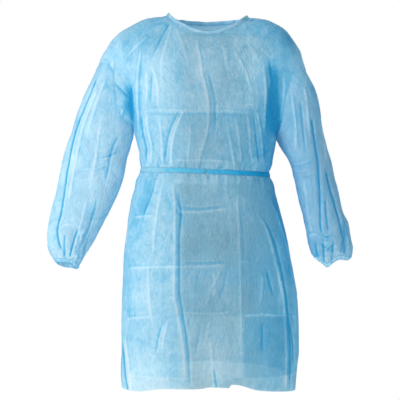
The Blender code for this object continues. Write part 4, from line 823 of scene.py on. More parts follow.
def body_relief(face, grid, sizes):
    """Relief of a body panel, its tone, from 0, pale, to 1, deep blue, and how greyed it is. The tone is mostly
    painted highlight and painted shade, with random mottling; the greyed share is painted shade of the left-out
    body behind the thin cloth.
    """
    x = grid[:, :, 0]
    z = grid[:, :, 2]
    rows, cols = x.shape
    s = arc(grid, 1)
    s = s - s[:, cols // 2][:, None]
    crease, mark = crease_lines(x, z, FRONT_CREASES if face == "front" else BACK_CREASES)
    crease = crease * sizes.crease
    up = arc(grid, 0)
    above = up - up[BELT_HIGH][None]
    below = up[BELT_LOW][None] - up
    seed = 21 if face == "front" else 41
    gather = gathers(s, above, seed, count=62, span=GATHER_SPAN)
    gather = gather + gathers(s, below, seed + 1, count=62, span=GATHER_SPAN)
    gather *= sizes.gather
    puff = 0.0045 * (np.exp(-((above - 0.028) / 0.020) ** 2) * (above > 0)
                     + np.exp(-((below - 0.028) / 0.020) ** 2) * (below > 0))
    puff *= 0.75 + 0.5 * lumps(grid, 0.05, seed=31)
    relief = (crease + gather + puff) * body_hold(rows, cols, above, below)
    edge = np.minimum(s - s[:, :1], s[:, -1:] - s)
    low_side = smooth((-0.315 - z) / 0.05)
    # Painted shade: deeper blue in a band along both side seams below the chest.
    tone = 0.50 * np.exp(-(edge / 0.036) ** 1.4) * low_side
    # Painted shade in the hollows of creases and gathers, painted highlight on their ridges, and the creases'
    # painted light marks.
    shade = crease + 0.55 * gather
    tone += np.clip(-shade / 0.0075, -0.20, 0.55) - np.clip(0.80 * mark, -0.78, 0.17)
    # Painted shade of the left-out body behind the thin cloth: the middle of each panel is greyed.
    behind_shade = np.exp(-(np.abs(s) / 0.160) ** 3) * (0.78 if face == "front" else 0.50)
    # The front's shades run on over the shoulder seams and fade out on the back.
    within_neck = smooth((0.135 - np.abs(x)) / 0.04)
    from_ridge = up[-1][None] - up
    over = 1.0 if face == "front" else np.exp(-(from_ridge / 0.045) ** 2) * (1 - within_neck)
    # Painted shade on the gown's left, away from the lamp, and painted light on its right, then painted shade
    # over the shoulder tops.
    broad = 0.30 * smooth((x - 0.02) / 0.22) * smooth((-0.10 - z) / 0.15) - 0.10 * smooth((-0.06 - x) / 0.10)
    tone += over * (broad + 0.16 * smooth((z + 0.10) / 0.10))
    # Patches of painted shade in the valleys and at the sides, and a few of painted light.
    for patch in PAINTED_LIGHT_PATCHES:
        tone += over * tone_patch(x, z, patch)
    # Panels between packing folds get painted shade or painted light, and painted shade of the body behind.
    for x0, x1, z0, z1, soft_x, soft_z, amount, grey in PAINTED_LIGHT_PANELS:
        panel = soft_span(x, x0, x1, soft_x) * soft_span(z, z0, z1, soft_z) * over
        tone += amount * panel
        behind_shade += grey * panel
    tone += 0.12 * lumps(grid, (0.09, 0.09, 0.16), seed=13)
    tone += 0.11 * crumple(grid, (0.03, 0.03, 0.05), seed=15) + 0.18
    tone += 0.10 * crumple(grid, (0.012, 0.012, 0.022), seed=16)
    # Painted shade along the shoulder seams, stronger on the left shoulder.
    ridge_edge = np.exp(-(from_ridge / 0.020) ** 2)
    tone += ridge_edge * (0.34 * smooth((x - 0.12) / 0.08) + 0.14 * smooth((-0.12 - x) / 0.08))
    # Inside the back neck: a painted line of shade below the band, and above it the cloth painted paler, out of
    # the shade it stands in.
    if face == "back":
        below_band = 0.15 * np.exp(-((z + 0.066) / 0.016) ** 2)
        tone += (below_band - 0.42 * smooth((z + 0.045) / 0.02)) * within_neck
    # Painted shade: a thin dark outline along the side seams, darker on the left, away from the lamp.
    tone += (0.20 + 0.25 * smooth(x / 0.2)) * np.exp(-(edge / 0.013) ** 2) * low_side
    # Painted highlight: a pale line along the hem.
    tone -= 0.22 * np.exp(-(up / 0.0045) ** 2)
    # The painted shade of the body behind is uneven, fades out at the top, is weaker on the right and at the left
    # side of the chest, and gives way along the creases.
    behind_shade = behind_shade * (0.80 + 0.30 * lumps(grid, (0.08, 0.08, 0.12), seed=29)) * smooth((-0.03 - z) / 0.06)
    bare = smooth((x - 0.13) / 0.03) * smooth((z + 0.52) / 0.05) * smooth((-0.14 - z) / 0.05)
    behind_shade = behind_shade * (0.60 + 0.40 * smooth((x + 0.12) / 0.06)) * (1 - 0.85 * bare)
    behind_shade = np.clip(behind_shade - 0.35 * np.clip(mark, 0, 1) - 0.55 * np.clip(-mark, 0, 1), 0, None)
    return relief, tone, behind_shade


def quad_faces(rows, cols, closed, flip):
    """Quads of a grid; closed ones wrap along their columns."""
    i = np.arange(rows - 1)[:, None]
    j = np.arange(cols if closed else cols - 1)[None, :]
    a = i * cols + j
    b = i * cols + (j + 1) % cols
    quads = np.stack([a, b, b + cols, a + cols], axis=2).reshape(-1, 4)
    return quads[:, ::-1] if flip else quads


def make_piece(name, points, faces, uv, tone, material, replaced=(), behind_shade=None):
    """Mesh object that rides on the frame, with its own map in metres and its tone."""
    mesh = bpy.data.meshes.new(name)
    mesh.from_pydata(points.tolist(), [], [tuple(f) for f in faces])
    mesh.update()
    layer = mesh.uv_layers.new(name="cloth")
    loops = np.empty(len(mesh.loops), np.int32)
    mesh.loops.foreach_get("vertex_index", loops)
    layer.data.foreach_set("uv", np.asarray(uv, np.float32)[loops].ravel())
    for label, values in (("tone", tone), ("behind_shade", np.zeros(len(points)) if behind_shade is None else behind_shade)):
        layer = mesh.attributes.new(label, "FLOAT", "POINT")
        layer.data.foreach_set("value", np.asarray(values, np.float32))
    mesh.polygons.foreach_set("use_smooth", np.ones(len(mesh.polygons), bool))
    mesh.materials.append(material)
    mesh.update()
    obj = bpy.data.objects.new(name, mesh)
    bpy.context.scene.collection.objects.link(obj)
    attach(obj, "root")
    if replaced:
        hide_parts(*replaced)
    return obj


def grid_piece(name, grid, tone, closed, flip, material, replaced, behind_shade=None):
    """Piece made of one grid, mapped by its own running length."""
    rows, cols = grid.shape[:2]
    uv = np.stack([arc(grid, 1), arc(grid, 0)], axis=2).reshape(-1, 2)
    return make_piece(name, grid.reshape(-1, 3), quad_faces(rows, cols, closed, flip), uv,
                      np.asarray(tone).reshape(-1), material, replaced,
                      None if behind_shade is None else behind_shade.reshape(-1))


def sleeve_relief(side, grid, t, sizes):
    """Relief, tone and greyed share of a sleeve; t runs from 0 at the armhole to 1 at the cuff. The tone is
    mostly painted highlight and painted shade, and the greyed share is painted shade of the left-out arm inside.
    """
    turn = 2 * math.pi * np.arange(grid.shape[1]) / grid.shape[1]
    facing = smooth(np.sin(turn) * 2.5)[None, :]
    away = smooth(-np.sin(turn) * 2.5)[None, :]
    edge_on = np.abs(np.cos(turn))[None, :]
    x = grid[:, :, 0]
    z = grid[:, :, 2]
    table = RIGHT_SLEEVE_CREASES if side == "right" else LEFT_SLEEVE_CREASES
    crease, mark = crease_lines(x, z, table)
    behind_crease, behind_mark = crease_lines(x, z, table, move=(0.009, 0.022))
    crease = (crease * facing + behind_crease * away * 0.85) * sizes.crease
    mark = mark * facing + behind_mark * away
    around = np.broadcast_to(turn * SLEEVE_RADIUS, x.shape)
    whole = (0.0, 2 * math.pi * SLEEVE_RADIUS)
    from_cuff = (1 - t)[:, None] * 0.52 + 0 * x
    from_armhole = t[:, None] * 0.52 + 0 * x
    wrinkle = gathers(around, from_cuff, seed=71, count=34, span=whole) * 1.15 * sizes.gather
    ease = gathers(around, from_armhole, seed=75, count=20, span=whole) * 0.45
    end = smooth((t - 0.74) / 0.26)[:, None]
    waves = lumps(grid, (0.05, 0.05, 0.085), seed=17) * 0.0022 * (1 + 0.5 * end)
    relief = (crease + wrinkle + ease + waves) * smooth(t / 0.035)[:, None]
    # Painted shade: deeper blue along the sides of each sleeve, more on the left sleeve.
    broad, rim = (0.05, 0.18) if side == "right" else (0.16, 0.30)
    tone = 0.16 + broad * edge_on ** 9 * smooth(t / 0.3)[:, None]
    ramp = smooth(t / 0.10)[:, None]
    # Painted shade patches and lines on the front of the sleeve.
    for patch in SLEEVE_SHADE_PATCHES[side]:
        tone = tone + tone_patch(x, z, patch) * facing
    # Painted shade in the hollows of creases and wrinkles, painted highlight on their ridges, and the creases'
    # painted light marks.
    tone = tone + np.clip(-(crease + 0.5 * wrinkle) / 0.0080, -0.20, 0.50) - np.clip(0.85 * mark, -0.85, 0.15)
    # The left sleeve, away from the lamp, is painted deeper and the right one paler, and both get painted shade
    # along their sides where they turn away.
    tone = tone + (0.14 if side == "left" else -0.17) * ramp + rim * edge_on ** 16
    # Painted shade along the armhole seam, on the front and the back of the sleeve.
    tone = tone + 0.34 * np.exp(-(t / 0.009) ** 2)[:, None] * np.sin(turn)[None, :] ** 2
    tone = tone + 0.12 * lumps(grid, (0.07, 0.07, 0.14), seed=19)
    tone = tone + 0.12 * crumple(grid, (0.025, 0.025, 0.04), seed=23)
    tone = tone + 0.10 * crumple(grid, (0.012, 0.012, 0.020), seed=24)
    # Painted shade of the left-out arm inside: greyer on the left sleeve, less at the sides and along the
    # creases.
    behind_shade_level = (0.66 if side == "left" else 0.30) * (1 - 0.5 * edge_on ** 4) - 0.8 * np.abs(mark)
    behind_shade_level = np.clip(behind_shade_level + 0.35 * lumps(grid, (0.03, 0.03, 0.05), seed=33), 0, None)
    return relief, tone, behind_shade_level * ramp + 0.20 * (1 - ramp)


def undulation_hold(name, shape):
    """Share of the slow waves that a panel takes: less at the underarm, at the armhole and at the belt."""
    rows, cols = shape
    index = np.arange(cols)
    row = np.arange(rows)
    if name in ("front", "back"):
        near = np.exp(-(np.minimum(index, cols - 1 - index) / 12.0) ** 2)[None, :]
        held = 0.85 * np.exp(-(np.abs(row - UNDERARM) / 10.0) ** 2)
        to_belt = np.clip(np.maximum(BELT_LOW - row, row - BELT_HIGH), 0, None)
        return (1 - near * held[:, None]) * (1 - 0.8 * np.exp(-(to_belt / 5.0) ** 2))[:, None]
    near = np.exp(-(np.minimum(index, cols - index) / 10.0) ** 2)[None, :]
    return 1 - 0.85 * near * np.exp(-(row / 8.0) ** 2)[:, None]


def sleeve_normals(grid, flip):
    """Unit normals of a sleeve, pointing outwards."""
    normals = grid_normals(grid, True, flip)
    middle = grid.shape[1] // 4
    return -normals if np.mean(normals[60:, middle, 1]) > 0 else normals


def gown_surfaces():
    """All panels with their folds, worked out once."""
    if made:
        return made
    sizes = bpy.context.scene.gown_sizes
    front = body_surface("front")
    back = body_surface("back")
    n_front = grid_normals(front, False, False)
    n_back = grid_normals(back, False, True)
    edges = [(g[:, k], n[:, k]) for g, n in ((front, n_front), (back, n_back)) for k in (0, -1)]
    edges += [(front[-1], n_front[-1]), (back[-1], n_back[-1])]
    sleeves = []
    for side, stations, k, flip in (("right", SLEEVE_RIGHT, 0, False), ("left", SLEEVE_LEFT, -1, True)):
        grid, t = sleeve_surface(stations, front[UNDERARM:, k], back[UNDERARM:, k])
        normals = sleeve_normals(grid, flip)
        sleeves.append((side, grid, t, normals))
        edges.append((grid[0], normals[0]))
    share_edges(edges)

    for face, grid, normals in (("front", front, n_front), ("back", back, n_back)):
        relief, made["tone_" + face], made["wash_" + face] = body_relief(face, grid, sizes)
        if face == "front":
            # A short stretch of the front hem hangs a centimetre higher.
            x = grid[:, :, 0]
            lifted = smooth((x - 0.062) / 0.004) * smooth((0.150 - x) / 0.07)
            grid[:, :, 2] += 0.010 * lifted * np.exp(-(arc(grid, 0) / 0.03) ** 2)
        made[face] = grid + normals * relief[:, :, None]
        made["n_" + face] = normals
    for side, grid, t, normals in sleeves:
        name = "sleeve_" + side
        relief, made["tone_" + name], made["wash_" + name] = sleeve_relief(side, grid, t, sizes)
        made[name] = grid + normals * relief[:, :, None]
        made[name][:, :, 2] += cuff_sag(made[name], side)
        made["n_" + name] = normals
    for name in ("front", "back", "sleeve_right", "sleeve_left"):
        grid = made[name]
        wave, shade = shared_undulation(grid, sizes)
        made["tone_" + name] = made["tone_" + name] + shade
        wave = wave * undulation_hold(name, wave.shape)
        made[name] = grid + made["n_" + name] * wave[:, :, None]
    return made


def sweep(path, across, out, profile, width=1.0, height=1.0):
    """Closed band along a path; the profile holds its points as across, out pairs in metres."""
    count = len(path)
    prof = np.asarray(profile, float)
    width = np.broadcast_to(width, (count,))
    height = np.broadcast_to(height, (count,))
    rings = path[:, None, :] + across[:, None, :] * (prof[:, 0] * width[:, None])[:, :, None] \
        + out[:, None, :] * (prof[:, 1] * height[:, None])[:, :, None]
    cols = len(prof)
    faces = [tuple(f) for f in quad_faces(count, cols, True, False)]
    faces.append(tuple(range(cols))[::-1])
    faces.append(tuple((count - 1) * cols + k for k in range(cols)))
    across_map = running_length(prof)[None, :]
    along_map = running_length(path)[:, None]
    uv = np.stack(np.broadcast_arrays(across_map, along_map), axis=2).reshape(-1, 2)
    return rings.reshape(-1, 3), faces, uv


def outward(points, faces):
    """Turns the faces of closed shells so that they point out."""
    pts = np.asarray(points)
    volume = 0.0
    for f in faces:
        for k in range(1, len(f) - 1):
            volume += float(np.dot(pts[f[0]], np.cross(pts[f[k]], pts[f[k + 1]])))
    return faces if volume > 0 else [tuple(reversed(f)) for f in faces]


def join_shells(shells):
    """One mesh from several points, faces, map sets."""
    points, faces, uvs, base = [], [], [], 0
    for pts, fcs, uv in shells:
        faces += [tuple(k + base for k in f) for f in outward(pts, fcs)]
        points.append(pts)
        uvs.append(uv)
        base += len(pts)
    return np.concatenate(points), faces, np.concatenate(uvs)


def flat_profile(width, thick, seam=0.0):
    """Rounded section of a folded tape, with a shallow stitched dip near both edges."""
    half = width / 2
    t = thick
    return [(-half, 0.35 * t), (-half * 0.93, 0.85 * t), (-half * 0.72, t - seam), (-half * 0.35, t),
            (half * 0.35, t), (half * 0.72, t - seam), (half * 0.93, 0.85 * t), (half, 0.35 * t),
            (half * 0.6, 0.0), (-half * 0.6, 0.0)]


def stitch_row(points, normals, runs, length, thick):
    """Short threads at given points, each along its own direction."""
    ring = [(0.0, 1.0), (0.87, -0.5), (-0.87, -0.5)]
    stations = ((-0.5, 0.25, 0.0), (-0.3, 0.9, 0.55), (0.3, 0.9, 0.55), (0.5, 0.25, 0.0))
    shells = []
    for p, n, d in zip(points, normals, runs):
        side = np.cross(n, d)
        verts = [p + d * (s * length) + n * (lift * thick + b * r * thick / 2) + side * (a * r * thick / 2)
                 for s, r, lift in stations for a, b in ring]
        faces = [tuple(f) for f in quad_faces(4, 3, True, False)] + [(2, 1, 0), (9, 10, 11)]
        uv = np.array([[s * length, k * thick] for s, _, _ in stations for k in range(3)])
        shells.append((np.array(verts), faces, uv))
    return join_shells(shells)


def spaced(points, values, pitch):
    """Points every pitch metres along a line, with other values read at the same places."""
    run = running_length(points)
    at = np.arange(pitch / 2, run[-1], pitch)
    return [np.stack([np.interp(at, run, v[:, k]) for k in range(v.shape[1])], axis=1)
            for v in [points, *values]]


def seam_stitches(line, normals, runs, length, lift=0.0):
    """Row of threads along a seam, with the normals and the threads' directions on its points."""
    sizes = bpy.context.scene.gown_sizes
    at, n, d = spaced(line, [normals, runs], sizes.stitch_pitch)
    n = unit(n)
    return stitch_row(at + n * sizes.thread_thickness * lift, n, unit(d), length, sizes.thread_thickness)


def thread_piece(name, rows):
    """Piece made of rows of threads."""
    points, faces, uv = join_shells(rows)
    make_piece(name, points, faces, uv, np.zeros(len(points)), thread_material())


def node(tree, kind, place, **values):
    """New node. Values go to its settings or to its sockets, and a value that is a socket is linked."""
    made_node = tree.nodes.new(kind)
    made_node.location = place
    for key, value in values.items():
        if hasattr(made_node, key):
            setattr(made_node, key, value)
        else:
            feed(tree, made_node.inputs[key.replace("_", " ").title()], value)
    return made_node


def feed(tree, socket, value):
    """Links a socket to another one, or sets it."""
    if isinstance(value, bpy.types.NodeSocket):
        tree.links.new(value, socket)
    else:
        socket.default_value = value


def node_in_order(tree, kind, place, *values, **settings):
    """New node whose first sockets take the values in order, since some of them share a name."""
    made_node = node(tree, kind, place, **settings)
    for socket, value in zip(made_node.inputs, values):
        feed(tree, socket, value)
    return made_node.outputs[0]


def share_added(tree, place, value, share, base):
    """A value times a share, plus a base."""
    return node_in_order(tree, "ShaderNodeMath", place, value, share, base, operation="MULTIPLY_ADD")


def scaled(tree, place, source, scale):
    """Coordinates stretched by a scale."""
    return node(tree, "ShaderNodeMapping", place, Vector=source, Scale=scale)


def opaque(colour):
    """Colour with its alpha."""
    return (*colour, 1.0)


def cloth_tone(tree, place, fibre, crinkle, cloud, vivid):
    """Colour of the cloth before it is greyed, from its tone, which is mostly painted highlight and painted
    shade, and from its mottling, fibres and crinkles.
    """
    colours = bpy.context.scene.gown_colours
    tone = node(tree, "ShaderNodeAttribute", (-1500, 600), attribute_name="tone").outputs["Fac"]
    speck = node(tree, "ShaderNodeTexNoise", (-1250, 900), Vector=place, Scale=95.0, Detail=3.0,
                 Roughness=0.7).outputs["Fac"]
    level = share_added(tree, (-1050, 450), cloud, 0.40, tone)
    level = share_added(tree, (-850, 450), fibre, 0.16, level)
    level = share_added(tree, (-850, 600), speck, 0.20, level)
    level = share_added(tree, (-750, 750), crinkle, 0.07, level)
    level = node(tree, "ShaderNodeMapRange", (-650, 450), Value=level, From_Min=0.06, From_Max=1.41)
    # The ramp runs from painted highlight, palest and pale, to painted shade, deep.
    ramp = node(tree, "ShaderNodeValToRGB", (-450, 450), Fac=level.outputs["Result"])
    ramp.color_ramp.elements[0].color = opaque(colours.palest)
    ramp.color_ramp.elements[1].color = opaque(colours.tape_deep if vivid else colours.deep)
    ramp.color_ramp.elements.new(0.26).color = opaque(colours.pale)
    ramp.color_ramp.elements.new(0.57).color = opaque(colours.tape_middle if vivid else colours.middle)
    return ramp.outputs["Color"], speck


def greyed_colour(tree, colour, speck, greyed):
    """The cloth's colour, greyed by painted shade of the left-out body behind the thin cloth, as much as its
    attribute says.
    """
    behind_shade = node(tree, "ShaderNodeAttribute", (-450, 750), attribute_name="behind_shade").outputs["Fac"]
    fade = node_in_order(tree, "ShaderNodeMath", (-450, 950), speck, 0.5, operation="SUBTRACT")
    behind_shade_level = share_added(tree, (-350, 900), fade, 0.7, behind_shade)
    grey = node(tree, "ShaderNodeMapRange", (-250, 750), Value=behind_shade_level, From_Max=1.35)
    return node(tree, "ShaderNodeMix", (-50, 600), data_type="RGBA", Factor=grey.outputs["Result"], A=colour,
                B=opaque(greyed)).outputs["Result"]


def cloth_normal(tree, uv, fibre, crinkle, puckered):
    """Crinkles, then fibres with the bonded dots, then puckers for elastic and folded edges."""
    colours = bpy.context.scene.gown_colours
    rumple = node(tree, "ShaderNodeBump", (-650, -500), invert=True, Strength=colours.crinkle,
                  Distance=0.0016, Height=crinkle)
    grid = scaled(tree, (-1250, -300), uv, (460.0, 460.0, 1.0))
    grid.inputs["Rotation"].default_value = (0.0, 0.0, math.radians(30))
    dots = node(tree, "ShaderNodeTexVoronoi", (-1050, -300), feature="F1", Vector=grid.outputs["Vector"],
                Scale=1.0, Randomness=0.12)
    relief = share_added(tree, (-850, -150), dots.outputs["Distance"], 0.45, fibre)
    last = node(tree, "ShaderNodeBump", (-650, -150), Strength=0.35, Distance=0.0004, Height=relief,
                Normal=rumple.outputs["Normal"])
    if puckered:
        rub = scaled(tree, (-1250, -600), uv, (300.0, 40.0, 1.0))
        pucker = node(tree, "ShaderNodeTexNoise", (-1050, -600), Vector=rub.outputs["Vector"], Scale=1.0,
                      Detail=2.0)
        last = node(tree, "ShaderNodeBump", (-450, -300), Strength=puckered, Distance=0.0015,
                    Height=pucker.outputs["Fac"], Normal=last.outputs["Normal"])
    return last.outputs["Normal"]


def cloth_material(name, see_through=None, puckered=0.0, vivid=False, arm=False):
    """Thin spunbond cloth with fibres and bonded dots; its paler colour where it stands out is painted highlight
    and its deep blue in folds is painted shade.
    """
    if name in bpy.data.materials:
        return bpy.data.materials[name]
    colours = bpy.context.scene.gown_colours
    material = bpy.data.materials.new(name)
    material.use_nodes = True
    tree = material.node_tree
    tree.nodes.clear()
    uv = node(tree, "ShaderNodeUVMap", (-1500, 0), uv_map="cloth").outputs["UV"]
    place = node(tree, "ShaderNodeTexCoord", (-1500, 300)).outputs["Object"]
    cloud = node(tree, "ShaderNodeTexNoise", (-1250, 300), Vector=place, Scale=11.0, Detail=4.0,
                 Roughness=0.6).outputs["Fac"]
    stretch = scaled(tree, (-1250, 0), uv, (420.0, 55.0, 1.0))
    fibre = node(tree, "ShaderNodeTexNoise", (-1050, 0), Vector=stretch.outputs["Vector"], Scale=1.0,
                 Detail=3.0, Roughness=0.65).outputs["Fac"]
    crush = scaled(tree, (-1250, -800), uv, (95.0, 34.0, 1.0))
    cells = node(tree, "ShaderNodeTexVoronoi", (-1050, -800), feature="DISTANCE_TO_EDGE",
                 Vector=crush.outputs["Vector"], Scale=1.0, Randomness=1.0)
    crinkle = node(tree, "ShaderNodeMapRange", (-850, -800), Value=cells.outputs["Distance"],
                   From_Max=0.14).outputs["Result"]
    colour, speck = cloth_tone(tree, place, fibre, crinkle, cloud, vivid)
    tint = greyed_colour(tree, colour, speck, colours.arm_greyed if arm else colours.greyed)
    normal = cloth_normal(tree, uv, fibre, crinkle, puckered)
    shine = node(tree, "ShaderNodeMapRange", (-650, 150), Value=cloud, To_Min=0.52, To_Max=0.72)
    face = node(tree, "ShaderNodeBsdfPrincipled", (-200, 300), Base_Color=tint, Normal=normal,
                Roughness=shine.outputs["Result"], Sheen_Weight=0.05, Sheen_Roughness=0.45)
    face.inputs["Specular IOR Level"].default_value = 0.26
    glow = node(tree, "ShaderNodeBsdfTranslucent", (-200, -350), Color=tint, Normal=normal)
    clear = node(tree, "ShaderNodeBsdfTransparent", (0, -350), Color=opaque(colours.through))
    both = node_in_order(tree, "ShaderNodeMixShader", (100, 200), colours.glow, face.outputs["BSDF"],
                         glow.outputs["BSDF"])
    thin = node_in_order(tree, "ShaderNodeMixShader", (300, 100),
                         colours.see_through if see_through is None else see_through, both,
                         clear.outputs["BSDF"])
    node(tree, "ShaderNodeOutputMaterial", (500, 100), Surface=thin)
    return material


def tape_material():
    """Cloth of the waist and neck tapes."""
    return cloth_material("tape_cloth", see_through=0.0, puckered=0.25, vivid=True)


def thread_material():
    """Sewing thread, darker between its twists."""
    if "sewing_thread" in bpy.data.materials:
        return bpy.data.materials["sewing_thread"]
    colours = bpy.context.scene.gown_colours
    material = bpy.data.materials.new("sewing_thread")
    material.use_nodes = True
    tree = material.node_tree
    place = node(tree, "ShaderNodeTexCoord", (-900, 0))
    twist = node(tree, "ShaderNodeTexNoise", (-700, 0), Vector=place.outputs["Object"], Scale=900.0,
                 Detail=2.0)
    ramp = node(tree, "ShaderNodeValToRGB", (-450, 0), Fac=twist.outputs["Fac"])
    ramp.color_ramp.elements[0].color = opaque(0.55 * c for c in colours.thread)
    ramp.color_ramp.elements[1].color = opaque(colours.thread)
    face = tree.nodes["Principled BSDF"]
    tree.links.new(ramp.outputs["Color"], face.inputs["Base Color"])
    face.inputs["Roughness"].default_value = 0.5
    return material


def a_share(name, description, default, top=1.0):
    """Property that is a share, from 0 to its top."""
    return FloatProperty(name=name, description=description, default=default, min=0.0, max=top,
                         subtype="FACTOR")


def a_length(name, description, default):
    """Property in metres."""
    return FloatProperty(name=name, description=description, default=default, subtype="DISTANCE",
                         unit="LENGTH")


def a_colour(name, description, default):
    """Property that is a colour."""
    return FloatVectorProperty(name=name, description=description, default=default, size=3,
                               subtype="COLOR", min=0.0, max=1.0)


class GownSizes(bpy.types.PropertyGroup):
    crease: a_share("Crease height", "Share of the creases' full height", 1.0, top=2.0)
    crumple: a_share("Crumple height", "Share of the small crumple's height", 1.0, top=3.0)
    gather: a_share("Gather height", "Share of the gathers' height at belt and cuffs", 1.0, top=2.0)
    band_height: a_length("Neck band height", "Finished height of the neck band", 0.0095)
    tape_thickness: a_length("Tape thickness", "Thickness of a folded tape", 0.0009)
    belt_tail_width: a_length("Waist tape width", "Width of the hanging waist tapes", 0.0130)
    neck_tie_width: a_length("Neck tape width", "Width of the hanging neck tapes", 0.0080)
    stitch_pitch: a_length("Stitch pitch", "Distance from one stitch to the next", 0.0034)
    stitch_length: a_length("Stitch length", "Length of one thread on the cloth", 0.0032)
    thread_thickness: a_length("Thread thickness", "Thickness of the sewing thread", 0.0006)
    floor_height: a_length("Floor height", "Height of the floor below the neck", -1.50)
    fabric_seed: IntProperty(name="Overlap seed", description="Which set of waves the free back edge takes",
                             default=5, min=0)


class GownColours(bpy.types.PropertyGroup):
    # Pale is painted highlight where the cloth stands out.
    pale: a_colour("Pale cloth", "Cloth where it stands out", (0.56, 0.85, 0.98))
    middle: a_colour("Middle cloth", "Cloth over most of the gown", (0.20, 0.60, 0.84))
    tape_middle: a_colour("Middle tape", "Tape in half shade", (0.16, 0.72, 0.98))
    tape_deep: a_colour("Deep tape", "Tape on the shaded side", (0.0, 0.52, 0.95))
    # Palest is painted highlight on sharp raised folds.
    palest: a_colour("Palest cloth", "Cloth on sharp raised folds", (0.76, 0.93, 0.99))
    # Greyed sleeve and greyed cloth are painted shade of the left-out arms and body behind the thin cloth.
    arm_greyed: a_colour("Greyed sleeve", "Faded cloth of the sleeves", (0.35, 0.54, 0.69))
    greyed: a_colour("Greyed cloth", "Cloth over the middle of the body", (0.23, 0.41, 0.48))
    crinkle: a_share("Crinkle", "Depth of the fine crinkles", 0.5)
    # Deep is painted shade in folds and at the sides.
    deep: a_colour("Deep cloth", "Cloth in folds and at the sides", (0.0, 0.36, 0.68))
    through: a_colour("Seen through", "Tint of what shows through the cloth", (0.55, 0.82, 0.96))
    thread: a_colour("Thread", "Sewing thread", (0.30, 0.62, 0.82))
    glow: a_share("Glow", "Share of light that the cloth lets through softly", 0.30)
    see_through: a_share("See-through", "Share of light that passes straight through", 0.13)
    key_light: FloatProperty(name="Key light", description="Power of the soft light on the viewer's left",
                             default=62.0, unit="POWER", min=0.0)
    fill_light: a_share("Fill light", "Strength of the even light from all sides", 0.50, top=10.0)


def floor_material():
    """Pale floor that fades into the white surroundings away from the gown."""
    material = bpy.data.materials.new("studio_floor")
    material.use_nodes = True
    tree = material.node_tree
    face = tree.nodes["Principled BSDF"]
    face.inputs["Base Color"].default_value = (0.86, 0.87, 0.88, 1.0)
    face.inputs["Roughness"].default_value = 0.9
    place = node(tree, "ShaderNodeTexCoord", (-900, 0))
    flat = scaled(tree, (-700, 0), place.outputs["Object"], (1.0, 1.0, 0.0))
    away = node(tree, "ShaderNodeVectorMath", (-500, 0), operation="LENGTH", Vector=flat.outputs["Vector"])
    fade = node(tree, "ShaderNodeMapRange", (-300, 0), interpolation_type="SMOOTHSTEP",
                Value=away.outputs["Value"], From_Min=0.55, From_Max=1.40)
    white = node(tree, "ShaderNodeEmission", (-100, -200))
    mix = node_in_order(tree, "ShaderNodeMixShader", (150, 0), fade.outputs["Result"], face.outputs["BSDF"],
                        white.outputs["Emission"])
    tree.links.new(mix, tree.nodes["Material Output"].inputs["Surface"])
    return material


def white_world(strength):
    """White surroundings that light the gown evenly and look plain white."""
    world = bpy.data.worlds.new("white_surroundings")
    world.use_nodes = True
    tree = world.node_tree
    lit = tree.nodes["Background"]
    lit.inputs["Color"].default_value = WHITE
    lit.inputs["Strength"].default_value = strength
    seen = node(tree, "ShaderNodeBackground", (0, -200), Color=WHITE)
    path = node(tree, "ShaderNodeLightPath", (-300, 200))
    pick = node_in_order(tree, "ShaderNodeMixShader", (300, 0), path.outputs["Is Camera Ray"],
                         lit.outputs["Background"], seen.outputs["Background"])
    tree.links.new(pick, tree.nodes["World Output"].inputs["Surface"])
    return world


class StageOperator(bpy.types.Operator):
    """Floor, lights, white surroundings and the camera"""
    bl_idname = "gown.stage"
    bl_label = "Stage and camera"

    def execute(self, context):
        colours = context.scene.gown_colours
        bpy.ops.object.select_all(action="DESELECT")
        bpy.ops.mesh.primitive_circle_add(vertices=128, radius=9.0, fill_type="NGON",
                                          location=(0, 0, context.scene.gown_sizes.floor_height))
        floor = context.object
        floor.name = "studio_floor"
        bpy.ops.object.transform_apply(location=True, rotation=True, scale=True)
        floor.data.materials.append(floor_material())
        context.scene.world = white_world(colours.fill_light)
        for name, place, size, power in (
                ("key_softbox", (-2.3, -2.0, 0.15), 1.1, colours.key_light),
                ("low_softbox", (1.9, -2.6, -0.9), 1.6, colours.key_light * 0.05),
                ("back_softbox", (0.6, 2.6, 0.6), 1.6, colours.key_light * 0.30)):
            lamp = bpy.data.lights.new(name, "AREA")
            lamp.shape = "SQUARE"
            lamp.size = size
            lamp.energy = power
            holder = bpy.data.objects.new(name, lamp)
            holder.location = place
            aim = Vector(LAMP_TARGET) - Vector(place)
            holder.rotation_euler = aim.to_track_quat("-Z", "Y").to_euler()
            context.scene.collection.objects.link(holder)
        camera = bpy.data.objects.new("photo_camera", bpy.data.cameras.new("photo_camera"))
        camera.location = CAMERA_PLACE
        camera.rotation_euler = (math.pi / 2, 0.0, 0.0)
        camera.data.sensor_width = CAMERA_SENSOR
        camera.data.lens = CAMERA_SENSOR / 2 / CAMERA_HALF_VIEW
        camera.data.clip_end = 60.0
        context.scene.collection.objects.link(camera)
        context.scene.camera = camera
        context.scene.view_settings.view_transform = "Standard"
        return {"FINISHED"}


class FrontPanelOperator(bpy.types.Operator):
    """Front panel, from hem to shoulders"""
    bl_idname = "gown.front_panel"
    bl_label = "Front panel"

    def execute(self, context):
        g = gown_surfaces()
        piece = grid_piece("front_panel", g["front"], g["tone_front"], False, False,
                           cloth_material("body_cloth"), ("front",), g["wash_front"])
        return {"FINISHED"}


